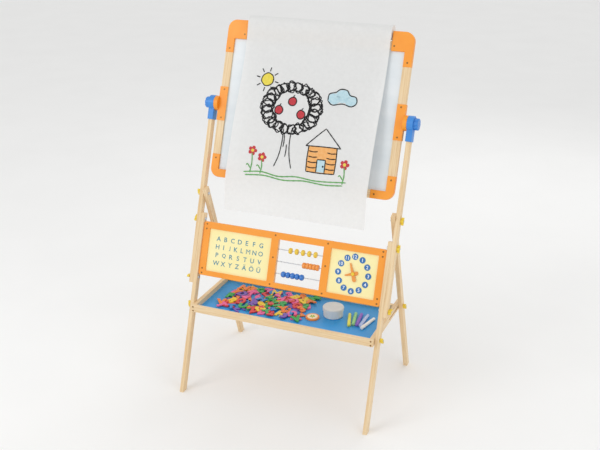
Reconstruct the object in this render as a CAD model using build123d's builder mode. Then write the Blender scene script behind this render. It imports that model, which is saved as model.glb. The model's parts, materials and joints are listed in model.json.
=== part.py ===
from build123d import *
import os
from math import atan2, cos, degrees, hypot, radians, sin, tan

# Children's standing easel, millimetres, +Z up, front towards -Y, origin on the floor under the
# middle of the object.  Two leaning front legs carry posts on their outer faces, the posts carry a
# board that turns between two clamps, and a level tray ties the front legs to the rear legs.

# ---------------------------------------------------------------- driving dimensions
LEG_THICK = 14.0          # legs, posts and tray rails, across the easel
LEG_DEPTH = 24.0          # the same stock, front to back
FRAME_WIDTH = 670.0       # over the outer faces of the legs
FOOT_SPREAD = 471.5       # front foot's front edge to the middle of the rear foot
FRONT_LEAN = 19.4         # degrees from upright
PIVOT_UP = 680.0          # distances along a front leg from the floor: rear leg pivot
UPPER_BOLT_UP = 593.0     # upper bolt between post and leg
LOWER_BOLT_UP = 394.0     # lower bolt between post and leg
TRAY_BOLT_UP = 299.0      # bolt that carries the front of the tray
CLAMP_UP = 983.0          # axis on which the board turns
LEG_OVERRUN = 20.0        # timber left beyond its last bolt
EDGE_ROUND = 1.5          # eased edges of the timber
RUNNING_GAP = 0.3         # between faces that slide on each other

BOLT_R = 3.0
BOLT_HEAD_R = 5.5
BOLT_HEAD_THICK = 3.5
HOLE_CLEARANCE = 0.3
NUT_HUB_R = 6.0
NUT_HUB_LENGTH = 10.0
NUT_COLLAR = 2.0
WING_SPAN = 25.0
WING_R = 4.0
WING_TURN = 55.0          # each wing nut stands at its own angle
SCREW_HEAD_R = 3.0
SCREW_SHANK_R = 1.6
SCREW_HEAD_PROUD = 0.5
PANEL_SCREW_STOP = 3.0    # left under a panel screw's tip, at the panel's rear face
END_SCREW_BITE = 15.0
END_SCREW_UPS = (38.0, 130.0)
TRAY_SCREW_LENGTH = 32.0
TRAY_SCREW_SPREAD = 7.0
BACK_SCREW_SPREAD = 7.5
BOARD_SCREW_LENGTH = 13.0

PANEL_FOOT_UP = 404.0     # activity panel, measured along the leg
PANEL_HEIGHT = 182.0
PANEL_THICK = 14.0
PANEL_FORWARD = 6.2       # panel's front face ahead of the leg's centre line
BEZEL_THICK = 4.5
PANEL_TOP_RAIL = 22.0
PANEL_FOOT_RAIL = 17.0
PANEL_STILE = 24.0
PANEL_MULLION = 25.0
CLOCK_WINDOW = 160.0
ABACUS_WINDOW = 158.0
PANEL_CORNER_R = 9.0
INSERT_THICK = 3.0        # alphabet and clock boards
INSERT_LAP = 6.0          # how far they reach behind the bezels
ROD_R = 1.5
ROD_PITCH = 40.0
ROD_SOCKET = 8.0
BEAD_R = 10.0
BEAD_BORE_CLEARANCE = 0.4
BEADS_PER_ROW = 5
NUMERAL_DISC_R = 10.0
NUMERAL_DISC_THICK = 1.0
DIAL_RX = 50.5            # the ring of hour discs is a little taller than wide
DIAL_RY = 55.5
HAND_THICK = 1.2
HAND_GAP = 0.4
HAND_TIP_R = 2.2
CLOCK_PIN_R = 3.0
CLOCK_PIN_HEAD_R = 6.0
CLOCK_PIN_HEAD = 2.5
MINUTE_HAND = 36.0
HOUR_HAND = 28.0

TRAY_FRONT_REACH = 30.5   # tray's front face ahead of its front bolts
TRAY_RAIL_HEIGHT = 24.0
TRAY_RAIL_THICK = 13.0
TRAY_TAIL = 20.0          # side rails behind the rear bolts at rest
TRAY_BACK_INSET = 18.0    # back rail's rear face ahead of the rear bolts
TRAY_FLOOR_THICK = 3.0
TRAY_FLOOR_UP = 3.0       # underside of the floor above the underside of the rails
TRAY_GROOVE = 4.5         # depth of the floor's groove in the rails
SLOT_DEPTH = 9.0          # slot for the rear tray bolts, cut in the side rails' outer faces
FOLD_ANGLE = 17.0         # travel of the rear legs
SLOT_CLEARANCE = 0.5

BOARD_WIDTH = 636.0
BOARD_ABOVE = 279.0       # board's top edge above the clamp axis, along the board
BOARD_BELOW = 244.0
BOARD_TILT = 20.17        # degrees from upright
RAIL_WIDTH = 27.0
RAIL_THICK = 15.0
CORNER_THICK = 18.0
CORNER_R = 30.0
TOP_CORNER_ARM = 62.0     # height of the top corners' inner arms
TOP_CORNER_DROP = 108.0
FOOT_CORNER_REACH = 76.0
TENON_LENGTH = 30.0
TENON_SHOULDER = 4.0      # timber left each side of a tenon's width
TENON_CHEEK = 3.0         # and each side of its thickness
SHEET_THICK = 2.5         # whiteboard and chalkboard, back to back
SHEET_GROOVE = 6.0
ROLL_WIDTH = 488.0
ROLL_R = 23.0
ROLL_UP = 275.0           # paper roll's axis on the board
ROLL_BACK = 4.0
ROLL_TO_RAIL = 4.0        # between the roll and the board's top rail
DOWEL_R = 6.0
SPIGOT_R = 3.0
SPIGOT_LENGTH = 10.0
CORNER_TO_ROLL = 3.0
PAPER_THICK = 0.6
# How the drawn-off sheet hangs: distances up the board and ahead of its middle plane.
PAPER_HANG = ((209.0, 13.0), (149.0, 13.5), (61.0, 21.0), (-18.0, 32.0), (-96.0, 39.0),
              (-164.0, 42.0), (-236.0, 43.0), (-289.0, 33.0), (-346.0, 18.0))

BRACKET_HEIGHT = 112.0
BRACKET_THICK = 2.0
BOSS_R = 24.5
PIVOT_R = 4.0
PIVOT_DEPTH = 18.0        # pivot bolt inside the board's stile
CLAMP_HEAD_R = 25.0
CLAMP_HEAD_LENGTH = 20.0
SOCKET_DROP = 56.0        # clamp socket's mouth below the clamp axis, along the post
SOCKET_WALL = 2.5
POST_END_DROP = 22.0      # post's top end below the clamp axis
KNOB_R = 18.5
KNOB_LENGTH = 14.0
KNOB_FLUTES = 8
KNOB_FLUTE_R = 4.0
KNOB_BORE = 9.0

POT_R = 33.0
POT_HEIGHT = 32.0
POT_WALL = 2.0
POT_ROUND = 4.0
POT_PLACE = (136.0, -17.0)
LID_CLEARANCE = 0.3
LID_THICK = 2.0
LID_SKIRT = 9.0
CHALK_R = 5.7
CHALK_LENGTH = 84.0
LETTER_HEIGHT = 32.0
LETTER_WIDTH = 22.0
LETTER_STROKE = 7.0
LETTER_THICK = 4.0
LETTER_PILE = (-107.0, -15.0)
GOLDEN_TURN = 137.5       # degrees from one letter to the next
MAGNET_R = 23.0
MAGNET_THICK = 6.0
MAGNET_PLACE = (78.0, -58.0)
CHALK_FAN = ((210.0, -72.0, 17.0), (221.0, -60.0, 12.5), (233.0, -60.0, 7.0),
             (245.0, -61.0, 0.0), (254.0, -75.0, -12.5))

# ---------------------------------------------------------------- derived places
lean = radians(FRONT_LEAN)
half_frame = FRAME_WIDTH / 2
leg_inner = half_frame - LEG_THICK
post_outer = half_frame + LEG_THICK
foot_half = LEG_DEPTH / 2 / cos(lean)


def rear_foot_half(foot_y):
    """Half the depth of a rear foot, which depends a little on where the foot stands."""
    pivot_y_from_front = PIVOT_UP * sin(lean) + foot_half
    run = foot_y - pivot_y_from_front
    return LEG_DEPTH / 2 * hypot(run, PIVOT_UP * cos(lean)) / (PIVOT_UP * cos(lean))


total_depth = FOOT_SPREAD + rear_foot_half(FOOT_SPREAD)
front_edge_y = -total_depth / 2
foot_y = front_edge_y + foot_half
rear_foot_y = front_edge_y + FOOT_SPREAD


def on_leg(up):
    """(y, z) of a point on a front leg's centre line, a distance up it from the floor."""
    return foot_y + up * sin(lean), up * cos(lean)


pivot_y, pivot_z = on_leg(PIVOT_UP)
clamp_y, clamp_z = on_leg(CLAMP_UP)
tray_y, tray_z = on_leg(TRAY_BOLT_UP)
rear_lean = atan2(rear_foot_y - pivot_y, pivot_z)
rear_bolt_y = pivot_y + (pivot_z - tray_z) * tan(rear_lean)

rear_outer = half_frame - RUNNING_GAP
rear_inner = rear_outer - LEG_THICK
tray_outer = rear_inner - RUNNING_GAP
tray_inner = tray_outer - LEG_THICK
tray_front = tray_y - TRAY_FRONT_REACH
tray_back = rear_bolt_y - TRAY_BACK_INSET
tray_end = rear_bolt_y + TRAY_TAIL
tray_foot = tray_z - TRAY_RAIL_HEIGHT / 2
tray_floor_top = tray_foot + TRAY_FLOOR_UP + TRAY_FLOOR_THICK

panel_half = leg_inner
alphabet_left = -panel_half + PANEL_STILE
clock_right = panel_half - PANEL_STILE
clock_left = clock_right - CLOCK_WINDOW
abacus_right = clock_left - PANEL_MULLION
abacus_left = abacus_right - ABACUS_WINDOW
alphabet_right = abacus_left - PANEL_MULLION
window_foot = PANEL_FOOT_UP + PANEL_FOOT_RAIL
window_top = PANEL_FOOT_UP + PANEL_HEIGHT - PANEL_TOP_RAIL
window_middle = (window_foot + window_top) / 2
window_height = window_top - window_foot
core_thick = PANEL_THICK - 2 * BEZEL_THICK
panel_back = PANEL_FORWARD - PANEL_THICK
panel_middle = PANEL_FORWARD - PANEL_THICK / 2
insert_front = PANEL_FORWARD - BEZEL_THICK
dial_x = (clock_left + clock_right) / 2 + 2.0

board_half = BOARD_WIDTH / 2
inner_half = board_half - RAIL_WIDTH
top_rail_top = ROLL_UP - ROLL_R - ROLL_TO_RAIL
roll_half = ROLL_WIDTH / 2
corner_end = roll_half + CORNER_TO_ROLL
clamp_inner = half_frame - (CLAMP_HEAD_LENGTH - LEG_THICK) / 2
clamp_outer = clamp_inner + CLAMP_HEAD_LENGTH
boss_length = clamp_inner - RUNNING_GAP - board_half
knob_inner = clamp_outer + RUNNING_GAP
hour_level = insert_front + NUMERAL_DISC_THICK + HAND_GAP
minute_level = hour_level + HAND_THICK + HAND_GAP
pin_head_level = minute_level + HAND_THICK + HAND_GAP
SIDES = (("left", -1), ("right", 1))


def leg_plane(forward=0.0):
    """Plane along the front legs: X across, Y up the leg, facing the front."""
    origin = (0, foot_y - forward * cos(lean), forward * sin(lean))
    return Plane(origin=origin, x_dir=(1, 0, 0), z_dir=(0, -cos(lean), sin(lean)))


def board_plane(forward=0.0):
    """Plane of the board through the clamp axis: X across, Y up the board, facing the front."""
    tilt = radians(BOARD_TILT)
    origin = (0, clamp_y - forward * cos(tilt), clamp_z + forward * sin(tilt))
    return Plane(origin=origin, x_dir=(1, 0, 0), z_dir=(0, -cos(tilt), sin(tilt)))


def side_plane(x):
    """Plane across X at x, with Y and Z as its own X and Y."""
    return Plane(origin=(x, 0, 0), x_dir=(0, 1, 0), z_dir=(1, 0, 0))


def write(piece, name):
    piece.label = name
    export_step(piece, f"parts/{name}.step")
    print(name, len(piece.solids()), round(piece.volume, 1))


# ---------------------------------------------------------------- timber frame
def bar_outline(base_y, angle, start, end):
    """Side view of a bar on a line through (base_y, 0) at angle; start None cuts it at the floor."""
    across = LEG_DEPTH / 2
    ahead = (across * cos(angle), -across * sin(angle))

    def corner(along, side):
        return base_y + along * sin(angle) + side * ahead[0], along * cos(angle) + side * ahead[1]

    if start is None:
        reach = across / cos(angle)
        foot = [(base_y - reach, 0), (base_y + reach, 0)]
    else:
        foot = [corner(start, -1), corner(start, 1)]
    return foot + [corner(end, 1), corner(end, -1)]


def bar(x_low, outline, holes):
    """A timber bar from its side view, with its long edges eased and its bolt holes drilled."""
    with BuildPart() as timber:
        with BuildSketch(side_plane(x_low)):
            Polygon(*outline, align=None)
        extrude(amount=LEG_THICK)
        long_edges = timber.edges().filter_by(Axis.X, reverse=True).sort_by(SortBy.LENGTH)[-4:]
        fillet(long_edges, EDGE_ROUND)
        with BuildSketch(side_plane(x_low)):
            with Locations(*holes):
                Circle(BOLT_R + HOLE_CLEARANCE)
        extrude(amount=LEG_THICK, mode=Mode.SUBTRACT)
    return timber.part


def side_x(side, low, high):
    """Lowest x of a piece that lies between low and high on the right, mirrored on the left."""
    return low if side > 0 else -high


def make_front_leg(side):
    holes = [on_leg(up) for up in (TRAY_BOLT_UP, LOWER_BOLT_UP, UPPER_BOLT_UP)]
    outline = bar_outline(foot_y, lean, None, UPPER_BOLT_UP + LEG_OVERRUN)
    with BuildPart() as leg:
        add(bar(side_x(side, leg_inner, half_frame), outline, holes))
        add(end_shanks(), mode=Mode.SUBTRACT)
    return leg.part


def make_post(side):
    holes = [on_leg(up) for up in (LOWER_BOLT_UP, UPPER_BOLT_UP, PIVOT_UP)]
    outline = bar_outline(foot_y, lean, LOWER_BOLT_UP - LEG_OVERRUN, CLAMP_UP - POST_END_DROP)
    return bar(side_x(side, half_frame, post_outer), outline, holes)


def make_rear_leg(side):
    outline = bar_outline(rear_foot_y, -rear_lean, None, pivot_z / cos(rear_lean) + LEG_OVERRUN)
    holes = [(pivot_y, pivot_z), (rear_bolt_y, tray_z)]
    return bar(side_x(side, rear_inner, rear_outer), outline, holes)


# ---------------------------------------------------------------- bolts and wing nuts
def bolt_set(headed, plain=()):
    """Bolts along X on both sides, each (start x, tip x, y, z); the headed ones have a domed head."""
    with BuildPart() as bolts:
        for side in (-1, 1):
            for start, tip, y, z in [*headed, *plain]:
                with BuildSketch(outward_plane(side, start, y, z)):
                    Circle(BOLT_R)
                extrude(amount=tip - start)
            for start, tip, y, z in headed:
                with BuildSketch(outward_plane(side, start, y, z)):
                    Circle(BOLT_HEAD_R)
                extrude(amount=-BOLT_HEAD_THICK, taper=18)
    return bolts.part


def outward_plane(side, x, y, z):
    """Plane across X at a distance x to one side, facing away from the middle of the easel."""
    return Plane(origin=(side * x, y, z), x_dir=(0, 1, 0), z_dir=(side, 0, 0))


def wing_nuts(places, turn):
    """Wing nuts on both sides, each (seat x, y, z) and turned a little further than the last."""
    wing_centre = WING_SPAN / 2 - WING_R
    with BuildPart() as nuts:
        for side in (-1, 1):
            for number, (x, y, z) in enumerate(places):
                angle = turn + WING_TURN * number * side
                seat = outward_plane(side, x, y, z)
                with BuildSketch(seat):
                    Circle(NUT_HUB_R + 1)
                    Circle(BOLT_R, mode=Mode.SUBTRACT)
                extrude(amount=NUT_COLLAR)
                with BuildSketch(seat.offset(NUT_COLLAR)):
                    Circle(NUT_HUB_R)
                    with Locations(Location((0, 0, 0), (0, 0, angle))):
                        Rectangle(2 * wing_centre, WING_R * 1.2)
                    with PolarLocations(wing_centre, 2, start_angle=angle):
                        Circle(WING_R)
                    Circle(BOLT_R, mode=Mode.SUBTRACT)
                extrude(amount=NUT_HUB_LENGTH - NUT_COLLAR)
    return nuts.part


# ---------------------------------------------------------------- activity panel
def window_openings(grow_inserts=0.0):
    """Cut the panel's three windows; those of the alphabet and the clock can be cut wider."""
    openings = ((alphabet_left, alphabet_right, grow_inserts), (abacus_left, abacus_right, 0.0),
                (clock_left, clock_right, grow_inserts))
    for low, high, grow in openings:
        with Locations(((low + high) / 2, window_middle)):
            Rectangle(high - low + 2 * grow, window_height + 2 * grow, mode=Mode.SUBTRACT)


def panel_outline():
    with Locations((0, PANEL_FOOT_UP + PANEL_HEIGHT / 2)):
        RectangleRounded(2 * panel_half, PANEL_HEIGHT, PANEL_CORNER_R)


def panel_screw_places():
    """Two screws in each corner and three down each mullion."""
    spots = []
    for x in (-panel_half + PANEL_STILE / 2, panel_half - PANEL_STILE / 2):
        spots += [(x, PANEL_FOOT_UP + up) for up in (8.0, 24.0, PANEL_HEIGHT - 24.0, PANEL_HEIGHT - 8.0)]
    for x in ((alphabet_right + abacus_left) / 2, (abacus_right + clock_left) / 2):
        spots += [(x, PANEL_FOOT_UP + up) for up in (10.0, PANEL_HEIGHT / 2 + 8, PANEL_HEIGHT - 10.0)]
    return spots


def panel_layer(back_face, thick, grow_inserts=0.0):
    """One layer of the panel, with its windows and its screw holes."""
    with BuildPart() as layer:
        with BuildSketch(leg_plane(back_face)):
            panel_outline()
            window_openings(grow_inserts)
            with Locations(*panel_screw_places()):
                Circle(SCREW_SHANK_R, mode=Mode.SUBTRACT)
        extrude(amount=thick)
    return layer.part


def make_front_bezel():
    with BuildPart() as bezel:
        add(panel_layer(PANEL_FORWARD - BEZEL_THICK, BEZEL_THICK))
        front = bezel.faces().sort_by(Axis(leg_plane().origin, leg_plane().z_dir))[-1]
        fillet(front.outer_wire().edges(), EDGE_ROUND)
    return bezel.part


def make_rear_bezel():
    with BuildPart() as bezel:
        add(panel_layer(panel_back, BEZEL_THICK))
        back = bezel.faces().sort_by(Axis(leg_plane().origin, leg_plane().z_dir))[0]
        fillet(back.outer_wire().edges(), EDGE_ROUND)
    return bezel.part


def rod_places():
    return [window_middle + ROD_PITCH * step for step in (1, 0, -1)]


def make_panel_core():
    """The pale middle layer, rebated for the two inserts and drilled for rods and end screws."""
    with BuildPart() as core:
        add(panel_layer(panel_back + BEZEL_THICK, core_thick, INSERT_LAP))
        for up in rod_places():
            y, z = panel_point(up, panel_middle)
            with BuildSketch(side_plane(abacus_left - ROD_SOCKET)):
                with Locations((y, z)):
                    Circle(ROD_R)
            extrude(amount=ABACUS_WINDOW + 2 * ROD_SOCKET, mode=Mode.SUBTRACT)
        add(end_shanks(), mode=Mode.SUBTRACT)
    return core.part


def panel_point(up, forward):
    """(y, z) of a point on the panel, up the leg and forward of the leg's centre line."""
    y, z = on_leg(up)
    return y - forward * cos(lean), z + forward * sin(lean)


def end_shanks():
    """Shanks of the screws that run through the legs into the panel's ends, also their holes."""
    with BuildPart() as shanks:
        for side in (-1, 1):
            with BuildSketch(side_plane(side * half_frame)):
                with Locations(*[panel_point(PANEL_FOOT_UP + up, panel_middle) for up in END_SCREW_UPS]):
                    Circle(SCREW_SHANK_R)
            extrude(amount=-side * (LEG_THICK + END_SCREW_BITE))
    return shanks.part


def make_insert(low, high, hole_x=None):
    """A board behind a window, held between the bezels; the clock's has a hole for its pin."""
    with BuildPart() as insert:
        with BuildSketch(leg_plane(insert_front - INSERT_THICK)):
            with Locations(((low + high) / 2, window_middle)):
                Rectangle(high - low + 2 * INSERT_LAP, window_height + 2 * INSERT_LAP)
            if hole_x is not None:
                with Locations((hole_x, window_middle)):
                    Circle(CLOCK_PIN_R, mode=Mode.SUBTRACT)
        extrude(amount=INSERT_THICK)
    return insert.part


def make_panel_screws():
    """Screws in the panel's face, and the ones through the legs into its ends."""
    with BuildPart() as screws:
        with BuildSketch(leg_plane(PANEL_FORWARD)):
            with Locations(*panel_screw_places()):
                Circle(SCREW_HEAD_R)
        extrude(amount=SCREW_HEAD_PROUD, taper=30)
        with BuildSketch(leg_plane(PANEL_FORWARD)):
            with Locations(*panel_screw_places()):
                Circle(SCREW_SHANK_R)
        extrude(amount=PANEL_SCREW_STOP - PANEL_THICK)
        add(end_shanks())
    return screws.part


def make_rods():
    with BuildPart() as rods:
        for up in rod_places():
            with BuildSketch(side_plane(abacus_left - ROD_SOCKET)):
                with Locations(panel_point(up, panel_middle)):
                    Circle(ROD_R)
            extrude(amount=ABACUS_WINDOW + 2 * ROD_SOCKET)
    return rods.part


def make_beads(up, first, pitch, width, rounding):
    """A row of turned beads on one rod, the first of them a distance in from the window's edge."""
    with BuildPart() as beads:
        for number in range(BEADS_PER_ROW):
            middle = abacus_left + first + pitch * number
            with BuildSketch(side_plane(middle - width / 2)):
                with Locations(panel_point(up, panel_middle)):
                    Circle(BEAD_R)
            extrude(amount=width)
        fillet(beads.edges().filter_by(GeomType.CIRCLE), rounding)
        with BuildSketch(side_plane(abacus_left)):
            with Locations(panel_point(up, panel_middle)):
                Circle(ROD_R + BEAD_BORE_CLEARANCE)
        extrude(amount=ABACUS_WINDOW, mode=Mode.SUBTRACT)
    return beads.part


def make_numeral_discs():
    with BuildPart() as discs:
        with BuildSketch(leg_plane(insert_front)):
            for hour in range(12):
                turn = radians(30 * hour)
                with Locations((dial_x + DIAL_RX * sin(turn), window_middle + DIAL_RY * cos(turn))):
                    Circle(NUMERAL_DISC_R)
        extrude(amount=NUMERAL_DISC_THICK)
    return discs.part


def make_hand(level, reach, tail, tail_r, clock_angle):
    """A tapering hand with a round tail, its back face at level ahead of the leg's centre line."""
    ahead = radians(clock_angle)

    def along(distance):
        return dial_x + distance * sin(ahead), window_middle + distance * cos(ahead)

    with BuildPart() as hand:
        with BuildSketch(leg_plane(level)):
            with Locations(along(reach - HAND_TIP_R)):
                Circle(HAND_TIP_R)
            with Locations(along(-tail)):
                Circle(tail_r)
            make_hull()
            with Locations((dial_x, window_middle)):
                Circle(CLOCK_PIN_R + HOLE_CLEARANCE, mode=Mode.SUBTRACT)
        extrude(amount=HAND_THICK)
    return hand.part


def make_clock_pin():
    """The pin on which the hands turn, with its head over them."""
    with BuildPart() as pin:
        with BuildSketch(leg_plane(insert_front - INSERT_THICK)):
            with Locations((dial_x, window_middle)):
                Circle(CLOCK_PIN_R)
        extrude(amount=pin_head_level - insert_front + INSERT_THICK)
        with BuildSketch(leg_plane(pin_head_level)):
            with Locations((dial_x, window_middle)):
                Circle(CLOCK_PIN_HEAD_R)
        extrude(amount=CLOCK_PIN_HEAD, taper=25)
    return pin.part


# ---------------------------------------------------------------- tray
tray_front_plane = Plane(origin=(0, tray_front, 0), x_dir=(1, 0, 0), z_dir=(0, -1, 0))


def tray_box(x_span, y_span, z_span):
    """A plain block from its spans, for the rails and for what is cut from them."""
    spans = (x_span, y_span, z_span)
    with BuildPart() as block:
        with Locations(tuple((high + low) / 2 for low, high in spans)):
            Box(*[high - low for low, high in spans])
    return block.part


def floor_slab():
    """The tray floor, let into grooves in all four rails."""
    reach_x = tray_inner + TRAY_GROOVE
    y_span = (tray_front + TRAY_RAIL_THICK - TRAY_GROOVE, tray_back - TRAY_RAIL_THICK + TRAY_GROOVE)
    return tray_box((-reach_x, reach_x), y_span, (tray_floor_top - TRAY_FLOOR_THICK, tray_floor_top))


def front_screw_points(side):
    return [(side * (tray_inner + LEG_THICK / 2), tray_z + way * TRAY_SCREW_SPREAD) for way in (-1, 1)]


def back_screw_points():
    return [(tray_back - TRAY_RAIL_THICK / 2, tray_z + way * BACK_SCREW_SPREAD) for way in (-1, 1)]


def tray_shanks():
    """The shanks of the screws that join the tray's rails, also used as their holes."""
    with BuildPart() as shanks:
        for side in (-1, 1):
            with BuildSketch(tray_front_plane):
                with Locations(*front_screw_points(side)):
                    Circle(SCREW_SHANK_R)
            extrude(amount=-TRAY_SCREW_LENGTH)
            with BuildSketch(side_plane(side * tray_outer)):
                with Locations(*back_screw_points()):
                    Circle(SCREW_SHANK_R)
            extrude(amount=-side * TRAY_SCREW_LENGTH)
    return shanks.part


def make_tray_cross_rail(front):
    """The front rail covers the side rails' ends; the back rail fits between them."""
    z_span = (tray_foot, tray_foot + TRAY_RAIL_HEIGHT)
    if front:
        block = tray_box((-tray_outer, tray_outer), (tray_front, tray_front + TRAY_RAIL_THICK), z_span)
    else:
        block = tray_box((-tray_inner, tray_inner), (tray_back - TRAY_RAIL_THICK, tray_back), z_span)
    with BuildPart() as rail:
        add(block)
        fillet(rail.edges().filter_by(Axis.X), EDGE_ROUND)
        add(floor_slab(), mode=Mode.SUBTRACT)
        add(tray_shanks(), mode=Mode.SUBTRACT)
    return rail.part


def folded_bolt_reach():
    """Distance from the tray's front bolts to its rear bolts with the legs folded."""
    leg_length = hypot(rear_bolt_y - pivot_y, pivot_z - tray_z)
    angle = rear_lean - radians(FOLD_ANGLE)
    y = pivot_y + leg_length * sin(angle)
    z = pivot_z - leg_length * cos(angle)
    return hypot(y - tray_y, tray_z - z)


def make_tray_side(side):
    """A side rail, bored for its front bolt and slotted on its outer face for the rear one."""
    x_span = sorted((side * tray_inner, side * tray_outer))
    slot_front = tray_y + folded_bolt_reach()
    slot_r = BOLT_R + SLOT_CLEARANCE
    with BuildPart() as rail:
        add(tray_box(x_span, (tray_front + TRAY_RAIL_THICK, tray_end),
                     (tray_foot, tray_foot + TRAY_RAIL_HEIGHT)))
        fillet(rail.edges().filter_by(Axis.Y), EDGE_ROUND)
        add(floor_slab(), mode=Mode.SUBTRACT)
        with BuildSketch(side_plane(side * tray_inner)):
            with Locations((tray_y, tray_z)):
                Circle(BOLT_R + HOLE_CLEARANCE)
        extrude(amount=side * LEG_THICK, mode=Mode.SUBTRACT)
        with BuildSketch(side_plane(side * tray_outer)):
            with Locations(((slot_front + rear_bolt_y) / 2, tray_z)):
                SlotCenterToCenter(rear_bolt_y - slot_front, 2 * slot_r)
        extrude(amount=-side * SLOT_DEPTH, mode=Mode.SUBTRACT)
        add(tray_shanks(), mode=Mode.SUBTRACT)
    return rail.part


def make_tray_screws():
    with BuildPart() as screws:
        add(tray_shanks())
        with BuildSketch(tray_front_plane):
            with Locations(*front_screw_points(-1), *front_screw_points(1)):
                Circle(SCREW_HEAD_R)
        extrude(amount=SCREW_HEAD_PROUD, taper=30)
    return screws.part


# ---------------------------------------------------------------- what lies in the tray
# Letters as strokes on a grid one unit wide and two high, about their own middle.
GLYPHS = {
    "A": [[(-1, -1), (0, 1), (1, -1)], [(-0.6, -0.2), (0.6, -0.2)]],
    "E": [[(1, 1), (-1, 1), (-1, -1), (1, -1)], [(-1, 0), (0.6, 0)]],
    "F": [[(1, 1), (-1, 1), (-1, -1)], [(-1, 0), (0.6, 0)]],
    "H": [[(-1, -1), (-1, 1)], [(1, -1), (1, 1)], [(-1, 0), (1, 0)]],
    "K": [[(-1, -1), (-1, 1)], [(1, 1), (-1, 0), (1, -1)]],
    "L": [[(-1, 1), (-1, -1), (1, -1)]],
    "M": [[(-1, -1), (-1, 1), (0, 0), (1, 1), (1, -1)]],
    "N": [[(-1, -1), (-1, 1), (1, -1), (1, 1)]],
    "P": [[(-1, -1), (-1, 1), (1, 1), (1, 0), (-1, 0)]],
    "T": [[(-1, 1), (1, 1)], [(0, 1), (0, -1)]],
    "U": [[(-1, 1), (-1, -1), (1, -1), (1, 1)]],
    "V": [[(-1, 1), (0, -1), (1, 1)]],
    "X": [[(-1, 1), (1, -1)], [(-1, -1), (1, 1)]],
    "Y": [[(-1, 1), (0, 0), (1, 1)], [(0, 0), (0, -1)]],
    "Z": [[(-1, 1), (1, 1), (-1, -1), (1, -1)]],
}


def letter_face(strokes):
    """One letter as a flat face about its own middle."""
    half_w = (LETTER_WIDTH - LETTER_STROKE) / 2
    half_h = (LETTER_HEIGHT - LETTER_STROKE) / 2
    with BuildSketch() as face:
        for stroke in strokes:
            for start, end in zip(stroke, stroke[1:]):
                run = (end[0] - start[0]) * half_w, (end[1] - start[1]) * half_h
                middle = (start[0] + end[0]) * half_w / 2, (start[1] + end[1]) * half_h / 2
                with Locations(Location((*middle, 0), (0, 0, degrees(atan2(run[1], run[0]))))):
                    Rectangle(hypot(*run) + LETTER_STROKE * 0.7, LETTER_STROKE)
    return face.sketch


def make_letter_layer(level, columns, rows, start):
    """A loose layer of magnetic letters: no two share a cell, and each is turned its own way."""
    cell = hypot(LETTER_WIDTH, LETTER_HEIGHT) + 1.5
    middle_x, middle_y = LETTER_PILE
    names = sorted(GLYPHS)
    faces = {name: letter_face(GLYPHS[name]) for name in names}
    with BuildPart() as letters:
        with BuildSketch(Plane.XY.offset(level)):
            for row in range(rows):
                for column in range(columns):
                    number = start + row * columns + column
                    x = middle_x + (column - (columns - 1) / 2) * cell
                    y = middle_y + (row - (rows - 1) / 2) * cell
                    with Locations(Location((x, y, 0), (0, 0, number * GOLDEN_TURN))):
                        add(faces[names[number * 4 % len(names)]])
        extrude(amount=LETTER_THICK)
    return letters.part


def make_chalk():
    """Five sticks lying in a fan: (x, y) of each near end, and the turn away from +Y."""
    axis_z = tray_floor_top + CHALK_R
    with BuildPart() as chalk:
        for x, y, turn in CHALK_FAN:
            direction = (-sin(radians(turn)), cos(radians(turn)), 0)
            with BuildSketch(Plane(origin=(x, y, axis_z), x_dir=(0, 0, 1), z_dir=direction)):
                Circle(CHALK_R)
            extrude(amount=CHALK_LENGTH)
        chamfer(chalk.edges().filter_by(GeomType.CIRCLE), 0.6)
    return chalk.part


def make_round_magnet():
    with BuildPart() as disc:
        with BuildSketch(Plane.XY.offset(tray_floor_top)):
            with Locations(MAGNET_PLACE):
                Circle(MAGNET_R)
        extrude(amount=MAGNET_THICK)
        fillet(disc.faces().sort_by(Axis.Z)[-1].edges(), EDGE_ROUND)
    return disc.part


def make_pot():
    with BuildPart() as pot:
        with BuildSketch(Plane.XY.offset(tray_floor_top)):
            with Locations(POT_PLACE):
                Circle(POT_R)
        extrude(amount=POT_HEIGHT)
        fillet(pot.faces().sort_by(Axis.Z)[0].edges(), POT_ROUND)
        with BuildSketch(Plane.XY.offset(tray_floor_top + POT_WALL)):
            with Locations(POT_PLACE):
                Circle(POT_R - POT_WALL)
        extrude(amount=POT_HEIGHT, mode=Mode.SUBTRACT)
    return pot.part


def make_pot_lid():
    """A cap that rests on the pot's rim, with a skirt outside it."""
    rim = tray_floor_top + POT_HEIGHT
    skirt_r = POT_R + LID_CLEARANCE + LID_THICK
    with BuildPart() as lid:
        with BuildSketch(Plane.XY.offset(rim - LID_SKIRT)):
            with Locations(POT_PLACE):
                Circle(skirt_r)
        extrude(amount=LID_SKIRT + LID_THICK)
        fillet(lid.faces().sort_by(Axis.Z)[-1].edges(), LID_THICK)
        with BuildSketch(Plane.XY.offset(rim - LID_SKIRT)):
            with Locations(POT_PLACE):
                Circle(POT_R + LID_CLEARANCE)
        extrude(amount=LID_SKIRT, mode=Mode.SUBTRACT)
    return lid.part


# ---------------------------------------------------------------- board
def board_block(x_span, up_span, thick):
    """A block on the board, centred on its middle plane."""
    with BuildPart() as block:
        with BuildSketch(board_plane(-thick / 2)):
            with Locations(((x_span[0] + x_span[1]) / 2, (up_span[0] + up_span[1]) / 2)):
                Rectangle(x_span[1] - x_span[0], up_span[1] - up_span[0])
        extrude(amount=thick)
    return block.part


def sheet_stack():
    """The space of the whiteboard and the chalkboard together, let into the frame."""
    reach = inner_half + SHEET_GROOVE
    low = -BOARD_BELOW + RAIL_WIDTH - SHEET_GROOVE
    high = top_rail_top - RAIL_WIDTH + SHEET_GROOVE
    return board_block((-reach, reach), (low, high), 2 * SHEET_THICK)


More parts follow.
